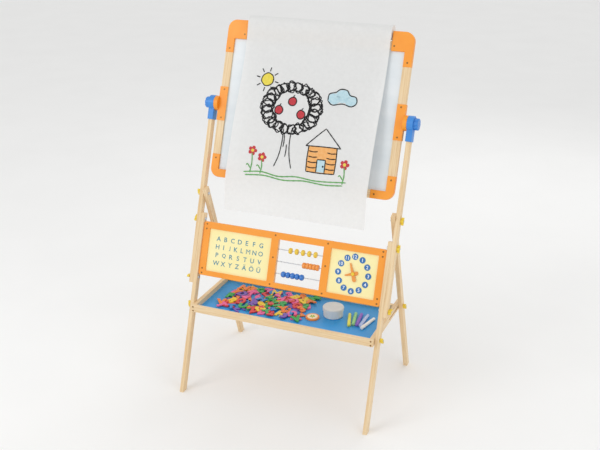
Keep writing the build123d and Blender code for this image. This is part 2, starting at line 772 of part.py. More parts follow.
def board_screw_places():
    """Screws through the corners into the tenons, and through the pivot brackets."""
    return [(side * x, up) for side in (-1, 1) for x, up in (
        (corner_end + 9, top_rail_top - RAIL_WIDTH / 2 - 2),
        (inner_half + RAIL_WIDTH / 2, BOARD_ABOVE - TOP_CORNER_DROP + 13),
        (inner_half + RAIL_WIDTH / 2, -BOARD_BELOW + FOOT_CORNER_REACH - 13),
        (board_half - FOOT_CORNER_REACH + 13, -BOARD_BELOW + RAIL_WIDTH / 2),
        (inner_half + RAIL_WIDTH / 2, BRACKET_HEIGHT / 2 - 9),
        (inner_half + RAIL_WIDTH / 2, 9 - BRACKET_HEIGHT / 2))]


def board_shanks():
    """The shanks of the board's screws, also used as their holes."""
    with BuildPart() as shanks:
        with BuildSketch(board_plane(CORNER_THICK / 2 - BOARD_SCREW_LENGTH)):
            with Locations(*board_screw_places()):
                Circle(SCREW_SHANK_R)
        extrude(amount=BOARD_SCREW_LENGTH)
    return shanks.part


def rail_with_tenons(x_span, up_span, across):
    """A frame rail between two corners, with a tenon on each end along X or up the board."""
    if across:
        tenon_x = (x_span[0] - TENON_LENGTH, x_span[1] + TENON_LENGTH)
        tenon_up = (up_span[0] + TENON_SHOULDER, up_span[1] - TENON_SHOULDER)
    else:
        tenon_x = (x_span[0] + TENON_SHOULDER, x_span[1] - TENON_SHOULDER)
        tenon_up = (up_span[0] - TENON_LENGTH, up_span[1] + TENON_LENGTH)
    with BuildPart() as rail:
        add(board_block(x_span, up_span, RAIL_THICK))
        fillet(rail.edges().sort_by(SortBy.LENGTH)[-4:], EDGE_ROUND)
        add(board_block(tenon_x, tenon_up, RAIL_THICK - 2 * TENON_CHEEK))
        add(sheet_stack(), mode=Mode.SUBTRACT)
        add(board_shanks(), mode=Mode.SUBTRACT)
    return rail.part


def make_stile(side):
    """A side rail of the board, bored for its pivot bolt."""
    x_span = sorted((side * inner_half, side * board_half))
    up_span = (-BOARD_BELOW + FOOT_CORNER_REACH, BOARD_ABOVE - TOP_CORNER_DROP)
    with BuildPart() as stile:
        add(rail_with_tenons(x_span, up_span, across=False))
        with BuildSketch(side_plane(side * board_half)):
            with Locations((clamp_y, clamp_z)):
                Circle(PIVOT_R)
        extrude(amount=-side * PIVOT_DEPTH, mode=Mode.SUBTRACT)
    return stile.part


def tenon_blocks():
    """The space of all the rails' tenons, run on through the rails themselves."""
    thick = RAIL_THICK - 2 * TENON_CHEEK
    stile_low = -BOARD_BELOW + FOOT_CORNER_REACH - TENON_LENGTH
    stile_high = BOARD_ABOVE - TOP_CORNER_DROP + TENON_LENGTH
    foot_reach = board_half - FOOT_CORNER_REACH
    with BuildPart() as blocks:
        for side in (-1, 1):
            x_span = sorted((side * (inner_half + TENON_SHOULDER), side * (board_half - TENON_SHOULDER)))
            add(board_block(x_span, (stile_low, stile_high), thick))
        for reach, top in ((corner_end, top_rail_top), (foot_reach, -BOARD_BELOW + RAIL_WIDTH)):
            up_span = (top - RAIL_WIDTH + TENON_SHOULDER, top - TENON_SHOULDER)
            add(board_block((-reach - TENON_LENGTH, reach + TENON_LENGTH), up_span, thick))
    return blocks.part


def make_corner(side, top):
    """A moulded corner that takes the rails' tenons and the edges of both sheets."""
    way = 1 if top else -1
    edge = BOARD_ABOVE if top else -BOARD_BELOW
    inner_x = corner_end if top else board_half - FOOT_CORNER_REACH
    arm = TOP_CORNER_ARM if top else RAIL_WIDTH
    drop = TOP_CORNER_DROP if top else FOOT_CORNER_REACH
    outline = [(inner_x, edge), (board_half, edge), (board_half, edge - way * drop),
               (inner_half, edge - way * drop), (inner_half, edge - way * arm), (inner_x, edge - way * arm)]
    with BuildPart() as corner:
        with BuildSketch(board_plane(-CORNER_THICK / 2)) as face:
            Polygon(*[(side * x, up) for x, up in outline], align=None)
            outer = face.vertices().sort_by(Axis.X)[-2:] if side > 0 else face.vertices().sort_by(Axis.X)[:2]
            fillet(outer.sort_by(Axis.Y)[-1 if top else 0], CORNER_R)
        extrude(amount=CORNER_THICK)
        across = Axis(board_plane().origin, board_plane().z_dir)
        fillet(corner.faces().sort_by(across)[-1].edges() + corner.faces().sort_by(across)[0].edges(),
               EDGE_ROUND)
        add(tenon_blocks(), mode=Mode.SUBTRACT)
        add(sheet_stack(), mode=Mode.SUBTRACT)
        add(board_shanks(), mode=Mode.SUBTRACT)
        if top:
            add(spigot_slot(), mode=Mode.SUBTRACT)
    return corner.part


def roll_point():
    """(y, z) of the paper roll's axis."""
    origin = board_plane(-ROLL_BACK).origin
    tilt = radians(BOARD_TILT)
    return origin.Y + ROLL_UP * sin(tilt), origin.Z + ROLL_UP * cos(tilt)


def spigot_slot():
    """A slot, open to the back, in which the dowel's spigots rest."""
    reach = corner_end + SPIGOT_LENGTH
    with BuildPart() as slot:
        with BuildSketch(side_plane(-reach)):
            with Locations(Location((*roll_point(), 0), (0, 0, -BOARD_TILT))):
                Circle(SPIGOT_R)
                with Locations((CORNER_THICK / 2, 0)):
                    Rectangle(CORNER_THICK, 2 * SPIGOT_R)
        extrude(amount=2 * reach)
    return slot.part


def make_sheet_panel(front):
    """The whiteboard in front, or the chalkboard behind it."""
    reach = inner_half + SHEET_GROOVE
    low = -BOARD_BELOW + RAIL_WIDTH - SHEET_GROOVE
    high = top_rail_top - RAIL_WIDTH + SHEET_GROOVE
    with BuildPart() as panel:
        with BuildSketch(board_plane(0 if front else -SHEET_THICK)):
            with Locations((0, (low + high) / 2)):
                Rectangle(2 * reach, high - low)
        extrude(amount=SHEET_THICK)
    return panel.part


def make_bracket(side):
    """Orange strap over a stile, with the boss that runs against the clamp."""
    face_thick = CORNER_THICK / 2 - RAIL_THICK / 2
    x_span = sorted((side * inner_half, side * (board_half + BRACKET_THICK)))
    with BuildPart() as bracket:
        with BuildSketch(board_plane(RAIL_THICK / 2)):
            with Locations(((x_span[0] + x_span[1]) / 2, 0)):
                Rectangle(x_span[1] - x_span[0], BRACKET_HEIGHT)
        extrude(amount=face_thick)
        with BuildSketch(board_plane(-RAIL_THICK / 2)):
            with Locations((side * (board_half + BRACKET_THICK / 2), 0)):
                Rectangle(BRACKET_THICK, BRACKET_HEIGHT)
        extrude(amount=RAIL_THICK + face_thick)
        with BuildSketch(side_plane(side * board_half)):
            with Locations((clamp_y, clamp_z)):
                Circle(BOSS_R)
        extrude(amount=side * boss_length)
        with BuildSketch(side_plane(side * board_half)):
            with Locations((clamp_y, clamp_z)):
                Circle(PIVOT_R)
        extrude(amount=side * boss_length, mode=Mode.SUBTRACT)
        add(board_shanks(), mode=Mode.SUBTRACT)
    return bracket.part


def make_board_pivots():
    """The two bolts on which the board turns, from the stiles out into the knobs."""
    with BuildPart() as pivots:
        for side in (-1, 1):
            with BuildSketch(side_plane(side * (board_half - PIVOT_DEPTH))):
                with Locations((clamp_y, clamp_z)):
                    Circle(PIVOT_R)
            extrude(amount=side * (knob_inner + KNOB_BORE - 1 - board_half + PIVOT_DEPTH))
    return pivots.part


def make_board_screws():
    with BuildPart() as screws:
        with BuildSketch(board_plane(CORNER_THICK / 2)):
            with Locations(*board_screw_places()):
                Circle(SCREW_HEAD_R)
        extrude(amount=SCREW_HEAD_PROUD, taper=30)
        with BuildSketch(board_plane(CORNER_THICK / 2)):
            with Locations(*board_screw_places()):
                Circle(SCREW_SHANK_R)
        extrude(amount=-BOARD_SCREW_LENGTH)
    return screws.part


def make_dowel():
    """The rod through the paper roll, with a thin spigot on each end."""
    with BuildPart() as dowel:
        steps = ((DOWEL_R, roll_half + CORNER_TO_ROLL / 2), (SPIGOT_R, corner_end + SPIGOT_LENGTH))
        for radius, reach in steps:
            with BuildSketch(side_plane(-reach)):
                with Locations(roll_point()):
                    Circle(radius)
            extrude(amount=2 * reach)
    return dowel.part


def make_paper_roll():
    with BuildPart() as roll:
        with BuildSketch(side_plane(-roll_half)):
            with Locations(roll_point()):
                Circle(ROLL_R)
                Circle(DOWEL_R + HOLE_CLEARANCE, mode=Mode.SUBTRACT)
        extrude(amount=ROLL_WIDTH)
    return roll.part


def make_paper_sheet():
    """The sheet drawn off the roll: round its top, down over the board, and out past its foot."""
    tilt = radians(BOARD_TILT)
    middle_y, middle_z = roll_point()
    radius = ROLL_R + RUNNING_GAP + PAPER_THICK / 2

    def round_roll(angle):
        return middle_y - radius * cos(radians(angle)), middle_z + radius * sin(radians(angle))

    def over_board(up, forward):
        origin = board_plane(forward).origin
        return origin.Y + up * sin(tilt), origin.Z + up * cos(tilt)

    leave = BOARD_TILT
    down_roll = (-sin(radians(leave)), -cos(radians(leave)))
    with BuildPart() as sheet:
        with BuildSketch(side_plane(-roll_half)):
            with BuildLine():
                ThreePointArc(round_roll(125), round_roll(75), round_roll(leave))
                Spline(round_roll(leave), *[over_board(up, forward) for up, forward in PAPER_HANG],
                       tangents=[down_roll, (0.18, -1)])
            trace(line_width=PAPER_THICK)
        extrude(amount=ROLL_WIDTH)
    return sheet.part


# ---------------------------------------------------------------- clamps and knobs
def make_clamp(side):
    """A socket on the post's top end, under a round head that the board's boss runs against."""
    x_low = side_x(side, clamp_inner, clamp_outer)
    mouth = CLAMP_UP - SOCKET_DROP
    width = LEG_DEPTH + 2 * SOCKET_WALL
    middle = (clamp_inner + clamp_outer) / 2
    with BuildPart() as clamp:
        with BuildSketch(leg_plane(-width / 2)):
            with Locations((side * middle, (mouth + CLAMP_UP) / 2)):
                Rectangle(CLAMP_HEAD_LENGTH, SOCKET_DROP)
        extrude(amount=width)
        with BuildSketch(side_plane(x_low)):
            with Locations((clamp_y, clamp_z)):
                Circle(CLAMP_HEAD_R)
        extrude(amount=CLAMP_HEAD_LENGTH)
        fillet(clamp.edges(), EDGE_ROUND)
        with BuildSketch(leg_plane(-LEG_DEPTH / 2)):
            post_end = CLAMP_UP - POST_END_DROP
            with Locations((side * (half_frame + LEG_THICK / 2), (mouth + post_end) / 2)):
                Rectangle(LEG_THICK, post_end - mouth)
        extrude(amount=LEG_DEPTH, mode=Mode.SUBTRACT)
        with BuildSketch(side_plane(x_low)):
            with Locations((clamp_y, clamp_z)):
                Circle(PIVOT_R + HOLE_CLEARANCE)
        extrude(amount=CLAMP_HEAD_LENGTH, mode=Mode.SUBTRACT)
    return clamp.part


def make_knob(side):
    """A fluted hand knob with a blind bore for the pivot bolt."""
    seat = Plane(origin=(side * knob_inner, clamp_y, clamp_z), x_dir=(0, 1, 0), z_dir=(side, 0, 0))
    with BuildPart() as knob:
        with BuildSketch(seat):
            Circle(KNOB_R)
            with PolarLocations(KNOB_R + KNOB_FLUTE_R * 0.6, KNOB_FLUTES):
                Circle(KNOB_FLUTE_R, mode=Mode.SUBTRACT)
        extrude(amount=KNOB_LENGTH)
        outward = Axis(seat.origin, seat.z_dir)
        fillet(knob.faces().sort_by(outward)[-1].edges(), EDGE_ROUND)
        with BuildSketch(seat):
            Circle(PIVOT_R + HOLE_CLEARANCE)
        extrude(amount=KNOB_BORE, mode=Mode.SUBTRACT)
    return knob.part


# ---------------------------------------------------------------- build everything
def main():
    os.makedirs("parts", exist_ok=True)
    for name, side in SIDES:
        write(make_front_leg(side), f"front_leg_{name}")
        write(make_post(side), f"post_{name}")
        write(make_rear_leg(side), f"rear_leg_{name}")
        write(make_clamp(side), f"clamp_{name}")
        write(make_knob(side), f"clamp_knob_{name}")
        write(make_tray_side(side), f"tray_side_rail_{name}")
        write(make_stile(side), f"board_stile_{name}")
        write(make_corner(side, True), f"board_corner_top_{name}")
        write(make_corner(side, False), f"board_corner_bottom_{name}")
        write(make_bracket(side), f"pivot_bracket_{name}")

    nut_reach = NUT_HUB_LENGTH + 1
    post_bolts = [(leg_inner, post_outer + nut_reach, *on_leg(up)) for up in (LOWER_BOLT_UP, UPPER_BOLT_UP)]
    tray_bolts = [(tray_inner, half_frame + nut_reach, tray_y, tray_z)]
    write(bolt_set(post_bolts + tray_bolts), "frame_bolts")
    write(wing_nuts([(post_outer, *on_leg(LOWER_BOLT_UP)), (post_outer, *on_leg(UPPER_BOLT_UP)),
                     (half_frame, tray_y, tray_z)], 15), "frame_wing_nuts")
    pivot_bolts = [(rear_inner, post_outer + RUNNING_GAP + nut_reach, pivot_y, pivot_z)]
    rear_pins = [(tray_outer - SLOT_DEPTH + 0.5, rear_outer + nut_reach, rear_bolt_y, tray_z)]
    write(bolt_set(pivot_bolts, rear_pins), "rear_leg_bolts")
    write(wing_nuts([(post_outer + RUNNING_GAP, pivot_y, pivot_z), (rear_outer, rear_bolt_y, tray_z)], 70),
          "rear_leg_wing_nuts")

    write(make_front_bezel(), "panel_front_bezel")
    write(make_panel_core(), "panel_core")
    write(make_rear_bezel(), "panel_rear_bezel")
    write(make_insert(alphabet_left, alphabet_right), "alphabet_board")
    write(make_insert(clock_left, clock_right, dial_x), "clock_board")
    write(make_panel_screws(), "panel_screws")
    write(make_rods(), "abacus_rods")
    yellow, orange, blue = rod_places()
    write(make_beads(yellow, 44.0, 21.8, 12.0, 5.0), "abacus_beads_yellow")
    write(make_beads(orange, 96.9, 11.5, 11.4, 3.5), "abacus_beads_orange")
    write(make_beads(blue, 29.0, 16.1, 16.0, 7.0), "abacus_beads_blue")
    write(make_numeral_discs(), "clock_numeral_discs")
    write(make_hand(hour_level, HOUR_HAND, 11.0, 6.5, 253), "clock_hour_hand")
    write(make_hand(minute_level, MINUTE_HAND, 20.0, 6.0, -20), "clock_minute_hand")
    write(make_clock_pin(), "clock_pin")

    write(make_tray_cross_rail(True), "tray_front_rail")
    write(make_tray_cross_rail(False), "tray_back_rail")
    write(floor_slab(), "tray_floor")
    write(make_tray_screws(), "tray_screws")
    write(make_letter_layer(tray_floor_top, 8, 5, 0), "magnet_letters_lower")
    write(make_letter_layer(tray_floor_top + LETTER_THICK + RUNNING_GAP, 7, 4, 40), "magnet_letters_upper")
    write(make_chalk(), "chalk_sticks")
    write(make_round_magnet(), "round_magnet")
    write(make_pot(), "pot")
    write(make_pot_lid(), "pot_lid")

    top_span = (top_rail_top - RAIL_WIDTH, top_rail_top)
    foot_span = (-BOARD_BELOW, -BOARD_BELOW + RAIL_WIDTH)
    foot_reach = board_half - FOOT_CORNER_REACH
    write(rail_with_tenons((-corner_end, corner_end), top_span, True), "board_rail_top")
    write(rail_with_tenons((-foot_reach, foot_reach), foot_span, True), "board_rail_bottom")
    write(make_sheet_panel(True), "whiteboard")
    write(make_sheet_panel(False), "chalkboard")
    write(make_board_pivots(), "board_pivots")
    write(make_board_screws(), "board_screws")
    write(make_dowel(), "roll_dowel")
    write(make_paper_roll(), "paper_roll")
    write(make_paper_sheet(), "paper_sheet")


main()
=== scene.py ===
import json
from math import cos, hypot, pi, radians, sin
from random import Random
import bpy
import numpy as np
from mathutils import Matrix, Vector


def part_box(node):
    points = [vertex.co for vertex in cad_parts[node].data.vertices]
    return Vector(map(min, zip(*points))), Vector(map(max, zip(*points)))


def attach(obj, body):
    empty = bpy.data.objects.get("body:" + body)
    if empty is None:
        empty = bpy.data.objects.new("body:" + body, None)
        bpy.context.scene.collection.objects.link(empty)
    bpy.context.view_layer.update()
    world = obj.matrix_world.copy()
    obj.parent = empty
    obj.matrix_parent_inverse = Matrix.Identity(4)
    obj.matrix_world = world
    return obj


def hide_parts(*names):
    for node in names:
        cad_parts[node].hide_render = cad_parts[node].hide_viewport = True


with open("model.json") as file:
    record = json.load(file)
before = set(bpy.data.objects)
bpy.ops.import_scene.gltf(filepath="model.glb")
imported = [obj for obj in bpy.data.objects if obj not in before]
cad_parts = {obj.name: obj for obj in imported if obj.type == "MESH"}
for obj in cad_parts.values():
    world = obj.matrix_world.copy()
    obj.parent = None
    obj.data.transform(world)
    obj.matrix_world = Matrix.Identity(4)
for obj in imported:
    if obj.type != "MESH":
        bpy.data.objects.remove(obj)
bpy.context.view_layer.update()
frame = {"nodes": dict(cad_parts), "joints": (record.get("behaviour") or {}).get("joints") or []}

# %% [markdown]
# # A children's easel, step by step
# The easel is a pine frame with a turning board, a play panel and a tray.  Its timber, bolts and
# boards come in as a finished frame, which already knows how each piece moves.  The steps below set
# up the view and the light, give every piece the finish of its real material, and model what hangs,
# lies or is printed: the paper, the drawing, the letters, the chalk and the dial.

joints = {joint["name"]: joint for joint in frame["joints"]}
nodes = frame["nodes"]
MM = 0.001

# %% [markdown]
# ## Camera
# The easel is seen from the front, a little from its right and from above, by a moderately long lens
# that keeps the legs almost parallel.  The numbers are a place in metres, a turn in degrees and a
# focal length in millimetres on a 36 mm sensor.

# %% Camera
camera_data = bpy.data.cameras.new("camera")
camera_data.lens = 55.68
camera_data.sensor_width = 36.0
camera_data.clip_end = 50.0
camera = bpy.data.objects.new("camera", camera_data)
camera.location = (1.0731, -2.5997, 1.7193)
camera.rotation_euler = (radians(67.84), 0.0, radians(22.25))
bpy.context.scene.collection.objects.link(camera)
bpy.context.scene.camera = camera
bpy.context.scene.view_settings.view_transform = "Standard"
print("camera", round(camera.location.length, 2), "m from the origin")

# %% [markdown]
# ## Colour and node helpers
# Colours are written as sRGB hex, the way a paint chart gives them, but a shader works in linear
# light, so one function converts them.  A second small function adds one node to a material with its
# settings and its links, so that each finish below reads as a list of what it is made of.

# %% Hex colour to linear light
def linear(code):
    """'#rrggbb' as the linear RGBA that a shader wants."""
    channels = [int(code[i:i + 2], 16) / 255 for i in (1, 3, 5)]
    return [c / 12.92 if c <= 0.04045 else ((c + 0.055) / 1.055) ** 2.4 for c in channels] + [1.0]


print("mid grey is", round(linear("#808080")[0], 3), "in linear light")

# %% One node with its settings and links
def add_node(tree, kind, settings=(), links=()):
    """Adds a node; settings are (name, value) and links are (input name, another node's output)."""
    node = tree.nodes.new(kind)
    for name, value in settings:
        if hasattr(node, name):
            setattr(node, name, value)
        else:
            node.inputs[name].default_value = value
    for name, output in links:
        tree.links.new(output, node.inputs[name])
    return node


def add_ramp(tree, factor, stops):
    """A colour ramp over factor, with (position, '#rrggbb') stops."""
    ramp = add_node(tree, "ShaderNodeValToRGB", links=[("Fac", factor)])
    while len(ramp.color_ramp.elements) < len(stops):
        ramp.color_ramp.elements.new(0.5)
    for element, (position, code) in zip(ramp.color_ramp.elements, stops):
        element.position = position
        element.color = linear(code)
    return ramp.outputs["Color"]


def new_finish(name):
    """An empty material; returns it with its node tree."""
    material = bpy.data.materials.new(name)
    material.use_nodes = True
    material.node_tree.nodes.clear()
    return material, material.node_tree


def close_finish(tree, settings, links=()):
    """Ends a material with its main shader and output."""
    shader = add_node(tree, "ShaderNodeBsdfPrincipled", settings, links)
    add_node(tree, "ShaderNodeOutputMaterial", links=[("Surface", shader.outputs["BSDF"])])
    return shader


print("helpers ready")

# %% [markdown]
# ## Room and light
# A studio cut-out needs almost no shadow: a pale floor, a bright even surround and three big soft
# lamps.  The key stands in front and to the left, a weaker fill to the right, and a lamp behind
# brightens the edges of the timber.

# %% Pale floor
floor_material, tree = new_finish("studio_floor_matt_paint")
place = add_node(tree, "ShaderNodeTexCoord")
mottle = add_node(tree, "ShaderNodeTexNoise", [("Scale", 3.0), ("Detail", 2.0)],
                  [("Vector", place.outputs["Object"])])
paint = add_ramp(tree, mottle.outputs["Fac"], [(0.3, "#f9f9f8"), (0.7, "#fbfbfa")])
close_finish(tree, [("Roughness", 0.9), ("IOR", 1.45)], [("Base Color", paint)])

floor_mesh = bpy.data.meshes.new("studio_floor")
floor_mesh.from_pydata([(-40, -40, 0), (40, -40, 0), (40, 40, 0), (-40, 40, 0)], [], [(0, 1, 2, 3)])
studio_floor = bpy.data.objects.new("studio_floor", floor_mesh)
studio_floor.data.materials.append(floor_material)
bpy.context.scene.collection.objects.link(studio_floor)
print("floor", 80, "m square")

# %% Soft surround and three lamps
world = bpy.data.worlds.new("studio_surround")
bpy.context.scene.world = world
world.use_nodes = True
world.node_tree.nodes.clear()
sky = add_node(world.node_tree, "ShaderNodeBackground", [("Color", linear("#ffffff")), ("Strength", 0.8)])
add_node(world.node_tree, "ShaderNodeOutputWorld", links=[("Surface", sky.outputs["Background"])])

for lamp_name, spot, width, power in (("key_lamp", (-1.9, -2.6, 2.6), 1.8, 26.0),
                                      ("fill_lamp", (2.8, -1.4, 1.8), 1.8, 8.0),
                                      ("edge_lamp", (0.6, 2.6, 2.4), 1.6, 12.0)):
    lamp_data = bpy.data.lights.new(lamp_name, "AREA")
    lamp_data.size = width
    lamp_data.energy = power
    lamp = bpy.data.objects.new(lamp_name, lamp_data)
    lamp.location = spot
    lamp.rotation_euler = (Vector((0, 0, 0.65)) - Vector(spot)).to_track_quat("-Z", "Y").to_euler()
    bpy.context.scene.collection.objects.link(lamp)
print("three lamps and a white surround")

# %% [markdown]
# ## Places on the easel
# Three directions matter: along the leaning front frame, along the leaning rear legs, and along the
# board.  The clock's pin and the board's pivot are joints of the frame, so the play panel's face is
# measured from the first and the board from the second.

# %% Points on the panel and on the board
FRONT_LEAN = radians(19.4)
REAR_LEAN = radians(19.95)
BOARD_TILT = radians(20.17)
clock_centre = Vector(joints["minute_hand_turn"]["pos_m"])
board_pivot = Vector(joints["board_tilt"]["pos_m"])


def up_and_out(angle):
    """Unit vectors up a face that leans back by angle, and straight out of its front."""
    return Vector((0, sin(angle), cos(angle))), Vector((0, -cos(angle), sin(angle)))


panel_up, panel_out = up_and_out(FRONT_LEAN)
board_up, board_out = up_and_out(BOARD_TILT)
DISC_THICK = 1.0   # mm, the hour discs; the clock's pin is placed at their front


def on_panel(x, up, out):
    """A point in millimetres: x across, up from the clock's middle, out from the insert boards' face."""
    base = Vector((0, clock_centre.y, clock_centre.z)) + MM * (out - DISC_THICK) * panel_out
    return base + Vector((MM * float(x), 0, 0)) + MM * float(up) * panel_up


def on_board(x, up, out):
    """A point in millimetres: x across, up from the pivot, out from the board's middle plane."""
    foot = Vector((MM * float(x), board_pivot.y, board_pivot.z))
    return foot + MM * float(up) * board_up + MM * float(out) * board_out


print("clock at", [round(v, 3) for v in clock_centre], "board pivot at", [round(v, 3) for v in board_pivot])

# %% [markdown]
# ## Pine
# The legs, posts, rails and tray are planed pine under a clear matt varnish.  Pine shows pale earlywood
# with narrow, warmer latewood lines 2 to 4 mm apart that run the length of the stick, and a few long
# soft shades where the board was sawn across the rings.  An image of wood would stretch, so the
# lines are noise that is squeezed across the grain and drawn out along it.  Each direction of stick
# needs its own material, because the grain follows the stick.

# %% Varnished pine along a given direction
def varnished_pine(name, turn, light="#f2dfc0", warm="#e2c69c"):
    """Clear-varnished pine whose grain runs along Z after the easel's axes are turned by turn."""
    material, tree = new_finish(name)
    place = add_node(tree, "ShaderNodeTexCoord")
    stick = add_node(tree, "ShaderNodeMapping", [("Rotation", turn)], [("Vector", place.outputs["Object"])])
    # Ring lines about 3 mm apart: 330 per metre across the stick, 20 times slower along it.
    squeezed = add_node(tree, "ShaderNodeMapping", [("Scale", (330.0, 330.0, 9.0))],
                        [("Vector", stick.outputs["Vector"])])
    rings = add_node(tree, "ShaderNodeTexNoise", [("Scale", 1.0), ("Detail", 3.0), ("Roughness", 0.6)],
                     [("Vector", squeezed.outputs["Vector"])])
    # Soft shades 20 mm wide and 250 mm long, where the saw crossed the rings.
    slow = add_node(tree, "ShaderNodeMapping", [("Scale", (50.0, 50.0, 4.0))],
                    [("Vector", stick.outputs["Vector"])])
    shades = add_node(tree, "ShaderNodeTexNoise", [("Scale", 1.0), ("Detail", 1.0)],
                      [("Vector", slow.outputs["Vector"])])
    lines = add_ramp(tree, rings.outputs["Fac"], [(0.38, light), (0.56, "#ebd3ac"), (0.66, warm)])
    tone = add_ramp(tree, shades.outputs["Fac"], [(0.3, "#fff9ee"), (0.7, "#f6e8d2")])
    colour = add_node(tree, "ShaderNodeMix", [("data_type", "RGBA"), ("blend_type", "MULTIPLY")])
    colour.inputs["Factor"].default_value = 0.8
    tree.links.new(lines, colour.inputs[6])
    tree.links.new(tone, colour.inputs[7])
    dull = add_node(tree, "ShaderNodeMapRange", [("To Min", 0.42), ("To Max", 0.58)],
                    [("Value", rings.outputs["Fac"])])
    grain = add_node(tree, "ShaderNodeBump", [("Strength", 0.25), ("Distance", 0.0002)],
                     [("Height", rings.outputs["Fac"])])
    # Wood and varnish both sit near IOR 1.5; matt varnish scatters, so roughness is about a half.
    close_finish(tree, [("IOR", 1.5), ("Coat Weight", 0.15), ("Coat Roughness", 0.35)],
                 [("Base Color", colour.outputs[2]), ("Roughness", dull.outputs["Result"]),
                  ("Normal", grain.outputs["Normal"])])
    return material


pine_front = varnished_pine("pine_varnished_front_legs", (FRONT_LEAN, 0, 0))
pine_rear = varnished_pine("pine_varnished_rear_legs", (-REAR_LEAN, 0, 0))
pine_board = varnished_pine("pine_varnished_board_sides", (BOARD_TILT, 0, 0))
pine_across = varnished_pine("pine_varnished_cross_rails", (0, pi / 2, 0))
pine_deep = varnished_pine("pine_varnished_tray_sides", (pi / 2, 0, 0))
print("pine in five directions")

# %% Which piece of the frame wears which finish
def dress(material, *names):
    """Gives a whole piece of the frame one finish."""
    for name in names:
        node = nodes[name]
        node.data.materials.clear()
        node.data.materials.append(material)


def left_and_right(*names):
    """The names of pieces that come in pairs."""
    return [f"{name}_{side}" for name in names for side in ("left", "right")]


dress(pine_front, *left_and_right("front_leg", "post"))
dress(pine_rear, *left_and_right("rear_leg"))
dress(pine_board, *left_and_right("board_stile"))
dress(pine_deep, *left_and_right("tray_side_rail"))
dress(pine_across, "tray_front_rail", "tray_back_rail", "board_rail_top", "board_rail_bottom", "roll_dowel",
      "panel_core")
print("timber dressed")

# %% [markdown]
# ## Moulded plastic
# The board's corners and brackets are orange ABS, the clamps and knobs blue ABS, and the wing nuts
# yellow nylon.  Moulded plastic is one colour all through, with a faint mottle from the flow in the
# tool, and a fine spark-eroded texture of about half a millimetre that keeps it from looking wet.

# %% Moulded plastic in one colour
def moulded_plastic(name, colour, flow, roughness, grit=0.12):
    """Injection-moulded plastic: an even colour, a slight flow mottle and a fine tool texture."""
    material, tree = new_finish(name)
    place = add_node(tree, "ShaderNodeTexCoord")
    drift = add_node(tree, "ShaderNodeTexNoise", [("Scale", 18.0), ("Detail", 2.0)],
                     [("Vector", place.outputs["Object"])])
    body = add_ramp(tree, drift.outputs["Fac"], [(0.3, colour), (0.75, flow)])
    # Texture cells 0.5 mm across are 2000 per metre.
    cells = add_node(tree, "ShaderNodeTexNoise", [("Scale", 2000.0), ("Detail", 1.0)],
                     [("Vector", place.outputs["Object"])])
    skin = add_node(tree, "ShaderNodeBump", [("Strength", grit), ("Distance", 0.0001)],
                    [("Height", cells.outputs["Fac"])])
    sheen = add_node(tree, "ShaderNodeMapRange", [("To Min", roughness - 0.05), ("To Max", roughness + 0.07)],
                     [("Value", drift.outputs["Fac"])])
    close_finish(tree, [("IOR", 1.53)],
                 [("Base Color", body), ("Roughness", sheen.outputs["Result"]),
                  ("Normal", skin.outputs["Normal"])])
    return material


orange_abs = moulded_plastic("abs_moulded_orange", "#fca22c", "#f7961f", 0.38)
blue_abs = moulded_plastic("abs_moulded_blue", "#3f8fe0", "#3482d2", 0.36)
yellow_nylon = moulded_plastic("nylon_moulded_yellow", "#f3d648", "#ecca35", 0.42)
dress(orange_abs, *left_and_right("board_corner_top", "board_corner_bottom", "pivot_bracket"))
dress(blue_abs, *left_and_right("clamp", "clamp_knob"))
dress(yellow_nylon, "frame_wing_nuts", "rear_leg_wing_nuts", "clock_pin")
print("plastic dressed")

# %% [markdown]
# ## Lacquered panel faces
# The two faces of the play panel are sawn from fibreboard and sprayed with orange lacquer.  Sprayed
# lacquer has a soft orange-peel of 2 to 3 mm and a satin gloss; the fibreboard itself has no grain.

# %% Sprayed lacquer
def sprayed_lacquer(name, colour, shade, roughness):
    """Lacquer on fibreboard: an even coat with a slight orange-peel."""
    material, tree = new_finish(name)
    place = add_node(tree, "ShaderNodeTexCoord")
    peel = add_node(tree, "ShaderNodeTexNoise", [("Scale", 400.0), ("Detail", 1.0)],
                    [("Vector", place.outputs["Object"])])
    coat = add_node(tree, "ShaderNodeTexNoise", [("Scale", 12.0), ("Detail", 2.0)],
                    [("Vector", place.outputs["Object"])])
    paint = add_ramp(tree, coat.outputs["Fac"], [(0.3, colour), (0.7, shade)])
    ripple = add_node(tree, "ShaderNodeBump", [("Strength", 0.15), ("Distance", 0.0002)],
                      [("Height", peel.outputs["Fac"])])
    close_finish(tree,
                 [("IOR", 1.5), ("Roughness", roughness), ("Coat Weight", 0.2), ("Coat Roughness", 0.25)],
                 [("Base Color", paint), ("Normal", ripple.outputs["Normal"])])
    return material


orange_lacquer = sprayed_lacquer("fibreboard_lacquered_orange", "#fca232", "#f79a26", 0.4)
cream_print = sprayed_lacquer("hardboard_printed_cream", "#fdf3b8", "#fbeea9", 0.5)
blue_hardboard = sprayed_lacquer("hardboard_lacquered_blue", "#2f9be0", "#2893d8", 0.45)
disc_blue = sprayed_lacquer("printed_discs_blue", "#2e74b8", "#2a6cae", 0.45)
dress(orange_lacquer, "panel_front_bezel", "panel_rear_bezel")
dress(cream_print, "alphabet_board", "clock_board")
dress(blue_hardboard, "tray_floor")
dress(disc_blue, "clock_numeral_discs")
print("panel and tray boards dressed")

# %% [markdown]
# ## The tray floor's raw underside
# The floor is hardboard, lacquered on its upper face only.  Underneath it is the brown of pressed
# wood fibre.  The face's own direction tells the two sides apart: wherever a face looks down, the
# brown takes the place of the blue.

